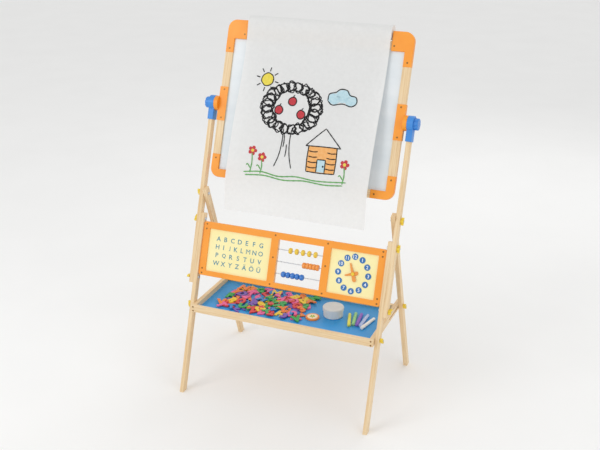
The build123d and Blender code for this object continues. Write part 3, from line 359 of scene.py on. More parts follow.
# %% Bare hardboard below
tree = blue_hardboard.node_tree
shader = next(node for node in tree.nodes if node.type == "BSDF_PRINCIPLED")
lacquer = shader.inputs["Base Color"].links[0].from_socket
place = add_node(tree, "ShaderNodeTexCoord")
fibre = add_node(tree, "ShaderNodeTexNoise", [("Scale", 700.0), ("Detail", 4.0)],
                 [("Vector", place.outputs["Object"])])
bare = add_ramp(tree, fibre.outputs["Fac"], [(0.3, "#9c7448"), (0.7, "#b98f60")])
facing = add_node(tree, "ShaderNodeSeparateXYZ", [], [("Vector", place.outputs["Normal"])])
downward = add_node(tree, "ShaderNodeMath", [("operation", "LESS_THAN")], [(0, facing.outputs["Z"])])
downward.inputs[1].default_value = -0.5
sides = add_node(tree, "ShaderNodeMix", [("data_type", "RGBA")],
                 [(0, downward.outputs[0]), (6, lacquer), (7, bare)])
tree.links.new(sides.outputs[2], shader.inputs["Base Color"])
print("tray floor is bare underneath")

# %% [markdown]
# ## Zinc-plated steel
# The screws, bolts and abacus rods are mild steel with bright zinc plating: a metal that is a little
# blue-grey, with cloudy patches where the plating is thicker.

# %% Zinc plating
zinc, tree = new_finish("steel_zinc_plated")
place = add_node(tree, "ShaderNodeTexCoord")
clouds = add_node(tree, "ShaderNodeTexNoise", [("Scale", 250.0), ("Detail", 3.0)],
                  [("Vector", place.outputs["Object"])])
plating = add_ramp(tree, clouds.outputs["Fac"], [(0.3, "#b9bdc2"), (0.7, "#d6d9dc")])
cloudy = add_node(tree, "ShaderNodeMapRange", [("To Min", 0.28), ("To Max", 0.45)],
                  [("Value", clouds.outputs["Fac"])])
close_finish(tree, [("Metallic", 1.0)], [("Base Color", plating), ("Roughness", cloudy.outputs["Result"])])
dress(zinc, "frame_bolts", "rear_leg_bolts", "board_pivots", "abacus_rods")
print("steel dressed")

# %% [markdown]
# ## Browned screws
# The wood screws have a yellow-brown chromate finish, darker than the bolts, so each head reads as a
# small brown dot on the orange.

# %% Chromated screws
chromated, tree = new_finish("steel_chromated_brown")
place = add_node(tree, "ShaderNodeTexCoord")
tint = add_node(tree, "ShaderNodeTexNoise", [("Scale", 400.0), ("Detail", 2.0)],
                [("Vector", place.outputs["Object"])])
brown = add_ramp(tree, tint.outputs["Fac"], [(0.3, "#7d5a34"), (0.7, "#a97c48")])
satin = add_node(tree, "ShaderNodeMapRange", [("To Min", 0.35), ("To Max", 0.5)],
                 [("Value", tint.outputs["Fac"])])
close_finish(tree, [("Metallic", 0.9)], [("Base Color", brown), ("Roughness", satin.outputs["Result"])])
dress(chromated, "panel_screws", "tray_screws", "board_screws")
print("screws dressed")

# %% [markdown]
# ## Painted beads
# The beads are turned beech dipped in gloss paint.  Dipping leaves a thick wet-looking coat, so the
# gloss is high, and the lathe's fine rings still show faintly through it.

# %% Dipped gloss paint on turned wood
def dipped_bead(name, colour, shade):
    """Gloss paint over lathe rings 0.8 mm apart, which run round the rod, so they repeat along X."""
    material, tree = new_finish(name)
    place = add_node(tree, "ShaderNodeTexCoord")
    lathe = add_node(tree, "ShaderNodeTexWave",
                     [("bands_direction", "X"), ("Scale", 60.0), ("Distortion", 0.4)],
                     [("Vector", place.outputs["Object"])])
    drift = add_node(tree, "ShaderNodeTexNoise", [("Scale", 60.0)], [("Vector", place.outputs["Object"])])
    paint = add_ramp(tree, drift.outputs["Fac"], [(0.3, colour), (0.7, shade)])
    turned = add_node(tree, "ShaderNodeBump", [("Strength", 0.2), ("Distance", 0.0002)],
                      [("Height", lathe.outputs["Fac"])])
    close_finish(tree, [("IOR", 1.5), ("Roughness", 0.2), ("Coat Weight", 0.6), ("Coat Roughness", 0.08)],
                 [("Base Color", paint), ("Normal", turned.outputs["Normal"])])
    return material


dress(dipped_bead("beech_dipped_yellow", "#f2cf3e", "#ebc52e"), "abacus_beads_yellow")
dress(dipped_bead("beech_dipped_orange", "#f49a3c", "#ee8f2e"), "abacus_beads_orange")
dress(dipped_bead("beech_dipped_blue", "#2f7bd0", "#2670c4"), "abacus_beads_blue")
hand_plastic = moulded_plastic("abs_moulded_hand_orange", "#f3a04c", "#ec953e", 0.35)
dress(hand_plastic, "clock_hour_hand", "clock_minute_hand")
print("beads and hands dressed")

# %% [markdown]
# ## Whiteboard and chalkboard
# The front is a melamine whiteboard: cool, smooth and glossy, with faint wipe marks from the eraser.
# The back is a chalkboard: dark, matt and slightly gritty, with a pale dust of old chalk wiped across.

# %% Melamine whiteboard
whiteboard, tree = new_finish("melamine_whiteboard")
place = add_node(tree, "ShaderNodeTexCoord")
# Wipe marks run across the board: 40 mm tall and 200 mm long.
wipes = add_node(tree, "ShaderNodeMapping", [("Scale", (5.0, 25.0, 25.0))],
                 [("Vector", place.outputs["Object"])])
smear = add_node(tree, "ShaderNodeTexNoise", [("Scale", 1.0), ("Detail", 4.0)],
                 [("Vector", wipes.outputs["Vector"])])
face = add_ramp(tree, smear.outputs["Fac"], [(0.3, "#dde4e8"), (0.7, "#e6ebee")])
gloss = add_node(tree, "ShaderNodeMapRange", [("To Min", 0.25), ("To Max", 0.36)],
                 [("Value", smear.outputs["Fac"])])
close_finish(tree, [("IOR", 1.5)], [("Base Color", face), ("Roughness", gloss.outputs["Result"])])
dress(whiteboard, "whiteboard")
print("whiteboard dressed")

# %% Painted chalkboard with wiped dust
chalkboard, tree = new_finish("chalkboard_matt_paint")
place = add_node(tree, "ShaderNodeTexCoord")
strokes = add_node(tree, "ShaderNodeMapping", [("Scale", (6.0, 40.0, 40.0)), ("Rotation", (0, 0.3, 0))],
                   [("Vector", place.outputs["Object"])])
dust = add_node(tree, "ShaderNodeTexNoise", [("Scale", 1.0), ("Detail", 5.0), ("Roughness", 0.65)],
                [("Vector", strokes.outputs["Vector"])])
slate = add_ramp(tree, dust.outputs["Fac"], [(0.35, "#2b3030"), (0.7, "#464c4b")])
# Grit of 0.4 mm is 2500 per metre.
grit = add_node(tree, "ShaderNodeTexNoise", [("Scale", 2500.0)], [("Vector", place.outputs["Object"])])
tooth = add_node(tree, "ShaderNodeBump", [("Strength", 0.3), ("Distance", 0.0001)],
                 [("Height", grit.outputs["Fac"])])
close_finish(tree, [("IOR", 1.5), ("Roughness", 0.85)],
             [("Base Color", slate), ("Normal", tooth.outputs["Normal"])])
dress(chalkboard, "chalkboard")
print("chalkboard dressed")

# %% [markdown]
# ## New pieces
# Everything from here on is modelled.  Each new piece is a mesh in metres, in the frame's own place,
# and rides on one of the frame's bodies so that it goes along when the easel is turned or folded.

# %% A mesh piece that rides on a body
def new_piece(name, points, faces, material, body, smooth=True):
    """Makes a mesh object from points and faces, dresses it and lets it ride."""
    mesh = bpy.data.meshes.new(name)
    mesh.from_pydata([tuple(p) for p in points], [], faces)
    mesh.update()
    if smooth:
        mesh.polygons.foreach_set("use_smooth", [True] * len(mesh.polygons))
    piece = bpy.data.objects.new(name, mesh)
    bpy.context.scene.collection.objects.link(piece)
    mesh.materials.append(material)
    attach(piece, body)
    return piece


print("pieces can now be made")

# %% [markdown]
# ## Lettering and dial
# The alphabet and the hours are screen-printed.  Printed ink is a film far thinner than a hair, so
# flat letter shapes laid a tenth of a millimetre above the board read as print.  Blender's own
# font gives the shapes: each character is turned into a mesh, centred and scaled to a real height.

# %% Character shapes
def character_shape(text, height, thick=0.0, bold=0.0):
    """Points and faces of a text about its own middle: height tall, and thick deep, in millimetres."""
    curve = bpy.data.curves.new("character", "FONT")
    curve.body = text
    # The font's M folds over itself when its strokes are widened, so it stays as it is drawn.
    curve.offset = 0.0 if text == "M" else bold
    curve.resolution_u = 4
    if thick:
        curve.extrude = 0.1
        curve.bevel_depth = 0.02
    shape = bpy.data.objects.new("character", curve)
    bpy.context.scene.collection.objects.link(shape)
    bpy.context.view_layer.update()
    mesh = bpy.data.meshes.new_from_object(shape.evaluated_get(bpy.context.evaluated_depsgraph_get()))
    points = np.array([v.co for v in mesh.vertices], float)
    faces = [tuple(p.vertices) for p in mesh.polygons]
    bpy.data.objects.remove(shape)
    bpy.data.meshes.remove(mesh)
    bpy.data.curves.remove(curve)
    middle = (points.max(0) + points.min(0)) / 2
    span = points.max(0) - points.min(0)
    factor = height / span[1]
    scale = np.array([factor, factor, thick / span[2] if thick else 0.0])
    return (points - middle) * scale, faces


sample, _ = character_shape("A", 14.0)
print("an A 14 mm tall is", round(float(np.ptp(sample[:, 0])), 1), "mm wide")

# %% Printing ink
def printing_ink(name, colour, thin):
    """Screen-printing ink: nearly even, a little thinner in places, satin."""
    material, tree = new_finish(name)
    place = add_node(tree, "ShaderNodeTexCoord")
    film = add_node(tree, "ShaderNodeTexNoise", [("Scale", 500.0), ("Detail", 2.0)],
                    [("Vector", place.outputs["Object"])])
    ink = add_ramp(tree, film.outputs["Fac"], [(0.4, colour), (0.8, thin)])
    close_finish(tree, [("IOR", 1.5), ("Roughness", 0.5)], [("Base Color", ink)])
    return material


teal_ink = printing_ink("screen_ink_teal", "#27809f", "#348cab")
white_ink = printing_ink("screen_ink_white", "#fbfcfd", "#eef3f6")
print("two inks mixed")

# %% Prints a line of characters on the panel
def print_characters(name, places, height, out, ink, bold=0.012):
    """One piece of print from (text, x, up) places, in millimetres on the play panel."""
    points, faces = [], []
    for text, x, up in places:
        shape, shape_faces = character_shape(text, height, bold=bold)
        start = len(points)
        points += [on_panel(x + px, up + py, out) for px, py, _ in shape]
        faces += [tuple(start + i for i in face) for face in shape_faces]
    return new_piece(name, points, faces, ink, "frame", smooth=False)


alphabet_middle = 1000 * (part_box("alphabet_board")[0].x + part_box("alphabet_board")[1].x) / 2
alphabet = []
for row, letters in enumerate(("ABCDEFG", "HIJKLMNO", "PQRSTUV", "WXYZÄÖÜ")):
    pitch = 26.0 if len(letters) == 7 else 22.6
    for place, letter in enumerate(letters):
        # A dotted capital stands as tall as its letter and dots together.
        alphabet.append((letter, alphabet_middle + (place - (len(letters) - 1) / 2) * pitch,
                         (1.5 - row) * 27.5))
plain = [entry for entry in alphabet if entry[0] not in "ÄÖÜ"]
dotted = [(text, x, up + 2.0) for text, x, up in alphabet if text in "ÄÖÜ"]
print_characters("alphabet_print", plain, 15.5, 0.1, teal_ink)
print_characters("alphabet_dotted_print", dotted, 19.5, 0.1, teal_ink)
print("alphabet of", len(alphabet), "letters")

# %% Hours on the dial's discs
DIAL_ACROSS, DIAL_UP = 50.5, 55.5
hours = []
for hour in range(1, 13):
    turn = radians(30 * hour)
    hours.append((str(hour), 1000 * clock_centre.x + DIAL_ACROSS * sin(turn), DIAL_UP * cos(turn)))
print_characters("dial_hours_print", hours, 11.0, DISC_THICK + 0.1, white_ink, bold=0.01)
print("dial printed with", len(hours), "hours")

# %% [markdown]
# ## Magnetic letters
# A box of moulded letters has been tipped into the tray.  They are soft-edged plastic about 35 mm tall
# and 4 mm thick, and they lie as they fell: some flat on the tray's floor, the rest on top of
# others and a little tilted.  A seeded random order keeps the pile the same every time.

# %% Letter colours
letter_paints = {
    "green": moulded_plastic("letter_plastic_green", "#3dab55", "#33a04b", 0.35),
    "blue": moulded_plastic("letter_plastic_blue", "#2e86d0", "#2478c2", 0.35),
    "yellow": moulded_plastic("letter_plastic_yellow", "#f3cf34", "#ebc427", 0.35),
    "red": moulded_plastic("letter_plastic_red", "#df3f3f", "#d23434", 0.35),
    "pink": moulded_plastic("letter_plastic_pink", "#ee6aa4", "#e65c98", 0.35),
    "purple": moulded_plastic("letter_plastic_purple", "#7c55b4", "#7049a8", 0.35),
    "orange": moulded_plastic("letter_plastic_orange", "#f2873a", "#ea7b2c", 0.35),
}
print(len(letter_paints), "letter colours")

# %% The tipped-out pile
LETTER_TALL, LETTER_THICK = 35.0, 4.0
LETTER_COUNT, MOST_TRIES = 88, 6000
pile_low, pile_high = [1000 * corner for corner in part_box("magnet_letters_lower")]
tray_floor_top = 1000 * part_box("tray_floor")[1].z
dice = Random(7)
heaps = {colour: ([], []) for colour in letter_paints}
spots = []
tries = 0
while len(spots) < LETTER_COUNT and tries < MOST_TRIES:
    tries += 1
    x = dice.uniform(pile_low.x + 17, pile_high.x - 15)
    y = dice.uniform(pile_low.y + 16, pile_high.y - 14)
    # The heap thins out towards the tray's back left and front right corners.
    if (x - pile_low.x) / 320 + (pile_high.y - y) / 260 < 0.22:
        continue
    below = sum(1 for sx, sy in spots if hypot(x - sx, y - sy) < 23)
    if below > 1 + (tries > MOST_TRIES / 2):
        continue
    spots.append((x, y))
    text = dice.choice("ABCDEFGHJKLMNPRSTUVXYZ2345678")
    shape, shape_faces = character_shape(text, LETTER_TALL, LETTER_THICK, bold=0.05)
    level = tray_floor_top + LETTER_THICK / 2 + 0.1 + 3.2 * below
    tilt = Matrix.Rotation(radians(dice.uniform(-9, 9) if below else 0), 3, "X")
    turn = Matrix.Rotation(radians(dice.uniform(-60, 60)), 3, "Z")
    points, faces = heaps[dice.choice(sorted(heaps))]
    start = len(points)
    points += [MM * (turn @ tilt @ Vector(p) + Vector((x, y, level))) for p in shape]
    faces += [tuple(start + i for i in face) for face in shape_faces]
heap_pieces = [new_piece(f"magnet_letters_{colour}", points, faces, letter_paints[colour], "tray",
                         smooth=False) for colour, (points, faces) in heaps.items()]
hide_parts("magnet_letters_lower", "magnet_letters_upper")
print(len(spots), "letters in the heap")

# %% [markdown]
# ## Chalk
# Sticks of pressed chalk are slightly tapered, 11 mm at the thick end, with a worn rounded tip and a
# powdery surface full of fine pores.  Each stick is a stack of rings, lathed about its own axis.

# %% Pressed chalk
def pressed_chalk(name, colour, powder):
    """Matt, porous chalk with powdery patches; pores are drawn 0.7 mm wide so that they show."""
    material, tree = new_finish(name)
    place = add_node(tree, "ShaderNodeTexCoord")
    patches = add_node(tree, "ShaderNodeTexNoise", [("Scale", 120.0), ("Detail", 4.0)],
                       [("Vector", place.outputs["Object"])])
    body = add_ramp(tree, patches.outputs["Fac"], [(0.35, colour), (0.75, powder)])
    pores = add_node(tree, "ShaderNodeTexNoise", [("Scale", 1400.0)], [("Vector", place.outputs["Object"])])
    rough = add_node(tree, "ShaderNodeBump", [("Strength", 0.4), ("Distance", 0.0002)],
                     [("Height", pores.outputs["Fac"])])
    close_finish(tree, [("IOR", 1.5), ("Roughness", 0.95)],
                 [("Base Color", body), ("Normal", rough.outputs["Normal"])])
    return material


def chalk_stick(name, near, turn, material):
    """A tapered stick lying on the tray's floor from its near end, turned from straight back."""
    length, thick_r, thin_r, sides = 84.0, 5.7, 4.9, 28
    rings = [(0.0, 4.6), (0.5, 5.3), (1.5, thick_r), (30.0, 5.5), (60.0, 5.2), (length - 4, thin_r),
             (length - 1.2, 4.0), (length, 2.2)]
    ahead = Vector((-sin(radians(turn)), cos(radians(turn)), 0))
    side = Vector((ahead.y, -ahead.x, 0))
    points = []
    for along, radius in rings:
        # A tapered stick touches the floor along its whole length.
        middle = Vector((near[0], near[1], tray_floor_top + radius)) + along * ahead
        points += [MM * (middle + radius * (cos(2 * pi * k / sides) * side
                                            + Vector((0, 0, sin(2 * pi * k / sides)))))
                   for k in range(sides)]
    faces = [(r * sides + k, r * sides + (k + 1) % sides, (r + 1) * sides + (k + 1) % sides,
              (r + 1) * sides + k)
             for r in range(len(rings) - 1) for k in range(sides)]
    faces += [tuple(range(sides))[::-1], tuple(range((len(rings) - 1) * sides, len(rings) * sides))]
    return new_piece(name, points, faces, material, "tray")


chalks = [
    chalk_stick("chalk_yellow", (210.0, -72.0), 17.0,
                pressed_chalk("chalk_pressed_yellow", "#e6e25c", "#efec8c")),
    chalk_stick("chalk_green", (221.0, -60.0), 12.5,
                pressed_chalk("chalk_pressed_green", "#93d088", "#b2e0a8")),
    chalk_stick("chalk_purple", (233.0, -60.0), 7.0,
                pressed_chalk("chalk_pressed_purple", "#9068c4", "#aa88d6")),
    chalk_stick("chalk_blue", (245.0, -61.0), 0.0, pressed_chalk("chalk_pressed_blue", "#b3c3ee", "#cbd7f5")),
    chalk_stick("chalk_white", (254.0, -75.0), -12.5,
                pressed_chalk("chalk_pressed_white", "#f4f2ec", "#fbfaf6")),
]
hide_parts("chalk_sticks")
print(len(chalks), "chalk sticks")

# %% [markdown]
# ## Pot, lid and round magnet
# The pot and its lid are thin natural polypropylene: milky, letting light through but no picture.
# The magnet is an orange disc with a pale printed middle.

# %% Milky polypropylene
milky, tree = new_finish("polypropylene_milky")
place = add_node(tree, "ShaderNodeTexCoord")
haze = add_node(tree, "ShaderNodeTexNoise", [("Scale", 60.0), ("Detail", 2.0)],
                [("Vector", place.outputs["Object"])])
body = add_ramp(tree, haze.outputs["Fac"], [(0.3, "#eef1f2"), (0.7, "#f6f8f8")])
sheen = add_node(tree, "ShaderNodeMapRange", [("To Min", 0.28), ("To Max", 0.4)],
                 [("Value", haze.outputs["Fac"])])
close_finish(tree, [("IOR", 1.49), ("Transmission Weight", 0.25)],
             [("Base Color", body), ("Roughness", sheen.outputs["Result"])])
dress(milky, "pot", "pot_lid")
print("pot dressed")

# %% Round magnet and its printed middle
dress(moulded_plastic("abs_moulded_magnet_orange", "#f3923c", "#eb8630", 0.35), "round_magnet")
low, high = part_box("round_magnet")
magnet_middle = (low + high) / 2
ring, sides = [], 48
for radius, lift in ((17.5, 0.05), (17.0, 0.3), (11.0, 0.3), (10.6, 0.15), (0.01, 0.15)):
    ring += [Vector((magnet_middle.x + MM * radius * cos(2 * pi * k / sides),
                     magnet_middle.y + MM * radius * sin(2 * pi * k / sides), high.z + MM * lift))
             for k in range(sides)]
ring_faces = [(r * sides + k, r * sides + (k + 1) % sides, (r + 1) * sides + (k + 1) % sides,
               (r + 1) * sides + k)
              for r in range(4) for k in range(sides)]
cream_ink = printing_ink("screen_ink_cream", "#fbe9c4", "#f7dfb0")
new_piece("round_magnet_print", ring, ring_faces, cream_ink, "tray")


def magnet_patch(name, radius, lobes, depth, lift, ink):
    """A patch of print round the magnet's middle, whose edge runs in and out once for each lobe."""
    points = [Vector((magnet_middle.x, magnet_middle.y, high.z + MM * lift))]
    for k in range(sides * 2):
        angle = pi * k / sides
        reach = MM * radius * (1 - depth * (0.5 - 0.5 * cos(lobes * angle)))
        points.append(points[0] + Vector((reach * cos(angle), reach * sin(angle), 0)))
    faces = [(0, 1 + k, 1 + (k + 1) % (sides * 2)) for k in range(sides * 2)]
    return new_piece(name, points, faces, ink, "tray")


magnet_patch("round_magnet_petals", 9.8, 5, 0.5, 0.3, printing_ink("screen_ink_green", "#5fb35a", "#71c06a"))
magnet_patch("round_magnet_flower_eye", 3.6, 1, 0.0, 0.42,
             printing_ink("screen_ink_yellow", "#f2cf3e", "#f6da62"))
print("magnet", round(1000 * (high.x - low.x)), "mm across")

# %% [markdown]
# ## Paper roll
# Drawing paper is uncoated: white, a little warm, matt, with a soft cloud of fibres.  From the end
# a roll shows its layers as close rings, so the ends get rings about a millimetre apart round the
# roll's axis, which is coarser than real paper but as fine as can be seen.

# %% Uncoated drawing paper
roll_axis = Vector(joints["paper_roll_spin"]["pos_m"])


def drawing_paper(name, rings=False):
    """Uncoated paper; with rings, it also shows the edges of the layers round the roll's axis."""
    material, tree = new_finish(name)
    place = add_node(tree, "ShaderNodeTexCoord")
    cloud = add_node(tree, "ShaderNodeTexNoise", [("Scale", 90.0), ("Detail", 4.0)],
                     [("Vector", place.outputs["Object"])])
    stock = add_ramp(tree, cloud.outputs["Fac"], [(0.25, "#f0f0ef"), (0.75, "#f5f5f4")])
    fibres = add_node(tree, "ShaderNodeTexNoise", [("Scale", 1500.0), ("Detail", 2.0)],
                      [("Vector", place.outputs["Object"])])
    height = fibres.outputs["Fac"]
    if rings:
        centred = add_node(tree, "ShaderNodeMapping", [("Location", (0, -roll_axis.y, -roll_axis.z))],
                           [("Vector", place.outputs["Object"])])
        layers = add_node(tree, "ShaderNodeTexWave", [("wave_type", "RINGS"), ("rings_direction", "X"),
                                                      ("Scale", 160.0), ("Distortion", 0.5)],
                          [("Vector", centred.outputs["Vector"])])
        stock = add_ramp(tree, layers.outputs["Fac"], [(0.2, "#d3d2cf"), (0.6, "#efefed")])
    tooth = add_node(tree, "ShaderNodeBump", [("Strength", 0.2), ("Distance", 0.0001)], [("Height", height)])
    shader = close_finish(tree, [("IOR", 1.5), ("Roughness", 0.8), ("Sheen Weight", 0.1)],
                          [("Base Color", stock), ("Normal", tooth.outputs["Normal"])])
    if not rings:
        # One layer of paper is taken to pass a fifth of the light that falls on its other side.
        glow = add_node(tree, "ShaderNodeBsdfTranslucent", links=[("Color", stock)])
        mixed = add_node(tree, "ShaderNodeMixShader", [("Fac", 0.2)],
                         [(1, shader.outputs["BSDF"]), (2, glow.outputs["BSDF"])])
        output = next(node for node in tree.nodes if node.type == "OUTPUT_MATERIAL")
        tree.links.new(mixed.outputs["Shader"], output.inputs["Surface"])
    return material


roll_paper = drawing_paper("drawing_paper_rolled", rings=True)
sheet_paper = drawing_paper("drawing_paper_uncoated")
dress(roll_paper, "paper_roll")

# %% [markdown]
# ## The drawn-off sheet
# One length of paper comes off the back of the roll, goes over its top and hangs down the board.  It
# bows away from the board, because paper that was rolled keeps some of its curl, and its tail
# swings back in below the board.  The side view is a smooth curve through a few places on the
# board, and the sheet is that curve swept across its width with a slight cockle in it.

# %% Side view of the sheet
ROLL_RADIUS = 1000 * (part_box("paper_roll")[1].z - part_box("paper_roll")[0].z) / 2
HALF_WIDTH = 500 * (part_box("paper_roll")[1].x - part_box("paper_roll")[0].x)
HANG = ((209.0, 13.0), (149.0, 13.5), (61.0, 21.0), (-18.0, 32.0), (-96.0, 39.0), (-164.0, 42.0),
        (-236.0, 43.0), (-289.0, 33.0), (-346.0, 18.0))   # mm up the board and out from its middle


def smooth_line(knots, step):
    """Points about step apart on a smooth curve through knots (a centripetal Catmull-Rom spline)."""
    knots = [np.array(k, float) for k in knots]
    knots = [2 * knots[0] - knots[1], *knots, 2 * knots[-1] - knots[-2]]
    line = []
    for a, b, c, d in zip(knots, knots[1:], knots[2:], knots[3:]):
        ta, tb = 0.0, np.linalg.norm(b - a) ** 0.5
        tc = tb + np.linalg.norm(c - b) ** 0.5
        td = tc + np.linalg.norm(d - c) ** 0.5
        for t in np.linspace(tb, tc, max(2, int(np.linalg.norm(c - b) / step)), endpoint=False):
            ab = a + (b - a) * (t - ta) / (tb - ta)
            bc = b + (c - b) * (t - tb) / (tc - tb)
            cd = c + (d - c) * (t - tc) / (td - tc)
            abc = ab + (bc - ab) * (t - ta) / (tc - ta)
            bcd = bc + (cd - bc) * (t - tb) / (td - tb)
            line.append(abc + (bcd - abc) * (t - tb) / (tc - tb))
    return line + [knots[-2]]


wrap_r = MM * (ROLL_RADIUS + 0.6)
over_top = [(roll_axis.y - wrap_r * cos(radians(a)), roll_axis.z + wrap_r * sin(radians(a)))
            for a in range(124, 20, -6)]
hanging = [(on_board(0, up, out).y, on_board(0, up, out).z) for up, out in HANG]
side_view = over_top + smooth_line([over_top[-1], *hanging], 0.006)[1:]
steps = [hypot(b[0] - a[0], b[1] - a[1]) for a, b in zip(side_view, side_view[1:])]
reach = np.concatenate([[0.0], np.cumsum(steps)])
SHEET_LENGTH = float(reach[-1])
print("sheet", round(2 * HALF_WIDTH), "mm wide and", round(1000 * SHEET_LENGTH), "mm long")

# %% Any point of the sheet
def on_sheet(x, down, lift=0.0):
    """The point x across and down along the sheet from its hidden end, in mm, lifted off its face."""
    d = min(max(MM * down, 0.0), SHEET_LENGTH)
    y, z = (float(np.interp(d, reach, [p[i] for p in side_view])) for i in (0, 1))
    y0, z0 = (float(np.interp(d - 0.004, reach, [p[i] for p in side_view])) for i in (0, 1))
    y1, z1 = (float(np.interp(d + 0.004, reach, [p[i] for p in side_view])) for i in (0, 1))
    run = hypot(y1 - y0, z1 - z0)
    out = Vector((0, (z1 - z0) / run, -(y1 - y0) / run))
    share = d / SHEET_LENGTH
    cockle = (0.9 * sin(x / 47 + 1.3) * sin(share * 9.0) * share
              + 4.0 * (abs(x) / HALF_WIDTH) ** 4 * share ** 3)
    return Vector((MM * float(x), y, z)) + MM * float(cockle + lift) * out


print("front of the sheet faces",
      [round(v, 2) for v in (on_sheet(0, 300, 10) - on_sheet(0, 300, 0)).normalized()])

# %% The sheet itself
columns, rows = 48, 120
grid = [on_sheet(HALF_WIDTH * (2 * c / columns - 1), 1000 * SHEET_LENGTH * r / rows)
        for r in range(rows + 1) for c in range(columns + 1)]
cells = [(r * (columns + 1) + c, (r + 1) * (columns + 1) + c, (r + 1) * (columns + 1) + c + 1,
          r * (columns + 1) + c + 1) for r in range(rows) for c in range(columns)]
drawn_sheet = new_piece("drawn_off_sheet", grid, cells, sheet_paper, "board")
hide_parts("paper_sheet")
print("sheet made of", len(cells), "cells")

# %% [markdown]
# ## A child's drawing
# Somebody has drawn on the sheet with felt pens: an apple tree with a scribbled crown, a striped
# house, a sun, a cloud and flowers.  A felt-pen line is a ribbon 4 mm wide with round, slightly
# thinner ends and a wobble.  The ribbons follow the paper, each colour a hair above the last.

# %% Felt-pen ink and lines
def felt_pen(name, colour, pooled):
    """Felt-pen ink soaked into paper: matt, darker where the pen paused."""
    material, tree = new_finish(name)
    place = add_node(tree, "ShaderNodeTexCoord")
    soak = add_node(tree, "ShaderNodeTexNoise", [("Scale", 140.0), ("Detail", 3.0)],
                    [("Vector", place.outputs["Object"])])
    ink = add_ramp(tree, soak.outputs["Fac"], [(0.35, colour), (0.7, pooled)])
    close_finish(tree, [("IOR", 1.45), ("Roughness", 0.8)], [("Base Color", ink)])
    return material


def pen_lines(name, lines, width, ink, lift):
    """One piece of ribbons along lines of (x, down) points in millimetres on the sheet."""
    points, faces = [], []
    for line in lines:
        path = smooth_line(line, 5.0) if len(line) > 2 else [np.array(line[0], float) * (1 - t) +
                                                             np.array(line[1], float) * t
                                                             for t in np.linspace(0, 1, 12)]
        start = len(points)
        for i, here in enumerate(path):
            ahead = path[min(i + 1, len(path) - 1)] - path[max(i - 1, 0)]
            side = np.array([-ahead[1], ahead[0]]) / (np.linalg.norm(ahead) + 1e-9)
            half = width / 2 * (0.55 if i in (0, len(path) - 1) else 1.0 + 0.12 * sin(1.7 * i))
            points += [on_sheet(*(here + half * side), lift), on_sheet(*(here - half * side), lift)]
        faces += [(start + 2 * i, start + 2 * i + 1, start + 2 * i + 3, start + 2 * i + 2)
                  for i in range(len(path) - 1)]
    return new_piece(name, points, faces, ink, "board")


print("pens ready")

# %% Shapes that a child draws
hand = Random(21)


def wobbly_ring(x, down, radius, turns=1.0, wobble=2.0, squash=1.0, start=0.0):
    """A hand-drawn ring, or a curl when it goes round more than once."""
    count = max(8, int(14 * turns))
    return [(x + (radius + hand.uniform(-wobble, wobble)) * cos(start + 2 * pi * turns * k / count),
             down + squash * (radius + hand.uniform(-wobble, wobble))
             * sin(start + 2 * pi * turns * k / count))
            for k in range(count + 1)]


print("a ring has", len(wobbly_ring(0, 0, 20)), "points")

# %% Colouring-in
def round_patch(x, down, wide, tall):
    """The outline of a coloured-in round patch."""
    return [(x + wide * cos(2 * pi * k / 20) + hand.uniform(-0.6, 0.6),
             down + tall * sin(2 * pi * k / 20) + hand.uniform(-0.6, 0.6)) for k in range(20)]


def box_patch(left, right, top, bottom):
    """The outline of a coloured-in square patch."""
    return ([(left + (right - left) * t / 8, top) for t in range(8)] +
            [(right, top + (bottom - top) * t / 8) for t in range(8)] +
            [(right - (right - left) * t / 8, bottom) for t in range(8)] +
            [(left, bottom - (bottom - top) * t / 8) for t in range(8)])


def pen_patches(name, outlines, ink, lift):
    """One piece of filled patches, each a set of rings from its middle out, so that it follows the paper."""
    points, faces = [], []
    for outline in outlines:
        rim = np.array(outline, float)
        middle = rim.mean(0)
        start, sides, rings = len(points), len(rim), 7
        for r in range(rings + 1):
            points += [on_sheet(*(middle + (p - middle) * max(r / rings, 0.002)), lift) for p in rim]
        faces += [(start + r * sides + k, start + r * sides + (k + 1) % sides,
                   start + (r + 1) * sides + (k + 1) % sides, start + (r + 1) * sides + k)
                  for r in range(rings) for k in range(sides)]
    return new_piece(name, points, faces, ink, "board")


print("a round patch has", len(round_patch(0, 0, 10, 10)), "corners")

# %% Apple tree
black_lines, green_lines = [], []
red_patches, orange_patches, blue_patches, yellow_patches = [], [], [], []

# A crown of curls, two deep at the sides, round an open middle.
for k in range(22):
    angle = 2 * pi * k / 22
    wide = 21 if abs(cos(angle)) > 0.8 else 15
    black_lines.append(wobbly_ring(-50 + 84 * cos(angle), 312 + 70 * sin(angle), wide, turns=2.6, wobble=5.0,
                                   start=angle))
for x, down in ((-92, 322), (-50, 290), (-14, 330)):
    red_patches.append(round_patch(x, down, 13, 14))
    black_lines.append(wobbly_ring(x, down, 14, turns=1.08, wobble=0.8))
    black_lines.append([(x, down - 13), (x + 2, down - 18), (x + 5, down - 22)])
black_lines += [[(-64, 380), (-63, 425), (-68, 468), (-80, 505)],
                [(-36, 380), (-37, 425), (-31, 468), (-20, 505)],
                [(-58, 400), (-56, 420), (-57, 440)], [(-46, 430), (-45, 450), (-46, 470)]]
print("tree of", len(black_lines), "black lines")

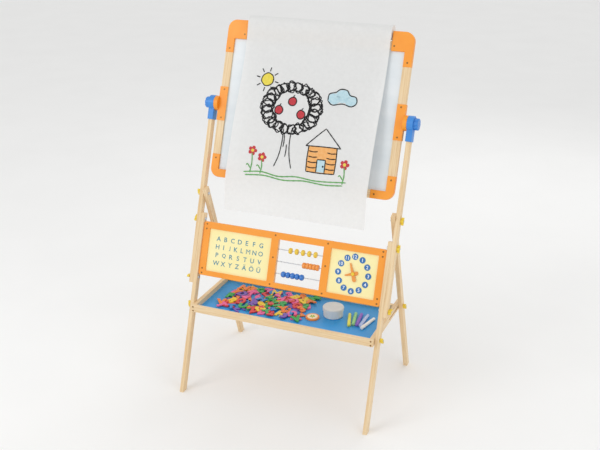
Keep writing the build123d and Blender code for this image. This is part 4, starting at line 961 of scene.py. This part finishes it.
# %% House, sun, cloud and flowers
orange_patches.append(box_patch(32, 126, 424, 506))
blue_patches.append(box_patch(66, 92, 466, 505))
black_lines += [[(31, 423), (30, 465), (32, 507)], [(32, 507), (80, 508), (127, 506)],
                [(127, 506), (128, 465), (126, 422)], [(20, 426), (50, 395), (80, 366)],
                [(80, 366), (108, 394), (138, 424)], [(20, 426), (80, 424), (139, 424)],
                [(66, 506), (65, 466)], [(65, 466), (93, 465)], [(93, 465), (94, 506)]]
black_lines += [[(33, down), (48, down + 2), (64, down)] for down in (441, 458, 475, 492)]
black_lines += [[(95, down), (110, down + 2), (126, down)] for down in (441, 458, 475, 492)]
black_lines.append(wobbly_ring(87, 486, 1.5, wobble=0.2))

yellow_patches.append(round_patch(-150, 226, 20, 20))
black_lines.append(wobbly_ring(-150, 226, 21, turns=1.06, wobble=1.0))
black_lines += [[(-150 + 27 * cos(a), 226 + 27 * sin(a)), (-150 + 41 * cos(a), 226 + 41 * sin(a))]
                for a in np.linspace(0.2, 2 * pi + 0.2, 9)[:-1]]
for x, down, wide in ((88, 268, 22), (116, 258, 26), (144, 270, 20)):
    blue_patches.append(round_patch(x, down, wide, wide * 0.8))
black_lines.append([(68, 276), (70, 254), (92, 246), (104, 236), (128, 238), (138, 252), (160, 258),
                    (164, 276),
                    (150, 288), (118, 282), (84, 288), (68, 276)])
for x, tall in ((-160, 64), (-124, 46), (158, 54)):
    green_lines.append([(x, 534), (x + 3, 534 - tall / 2), (x, 534 - tall)])
    green_lines.append([(x, 520), (x - 12, 507), (x - 16, 511)])
    red_patches += [round_patch(x + 10 * cos(a), 526 - tall + 10 * sin(a), 6, 6)
                    for a in np.linspace(0, 2 * pi, 6)[:-1]]
    yellow_patches.append(round_patch(x, 526 - tall, 5, 5))
green_lines.append([(-182, 534), (-120, 527), (-60, 535), (0, 529), (70, 534), (170, 527)])
green_lines.append([(-176, 543), (-110, 538), (-40, 545), (30, 539), (100, 543), (160, 538)])
print(len(black_lines), "black lines,", len(red_patches), "red patches")

# %% The drawing on the paper
pen_patches("drawing_orange", orange_patches, felt_pen("felt_pen_orange", "#f2b878", "#eda95f"), 0.30)
pen_patches("drawing_blue", blue_patches, felt_pen("felt_pen_light_blue", "#c4dee6", "#b0d3df"), 0.36)
pen_patches("drawing_red", red_patches, felt_pen("felt_pen_red", "#c9444c", "#b9353e"), 0.42)
pen_patches("drawing_yellow", yellow_patches, felt_pen("felt_pen_yellow", "#ecdb5e", "#e3cf48"), 0.48)
pen_lines("drawing_green", green_lines, 4.0, felt_pen("felt_pen_green", "#6fae66", "#5f9f57"), 0.54)
pen_lines("drawing_black", black_lines, 3.4, felt_pen("felt_pen_black", "#1d1d1f", "#121214"), 0.60)
print("drawing finished")

# %% [markdown]

print("scene finished")
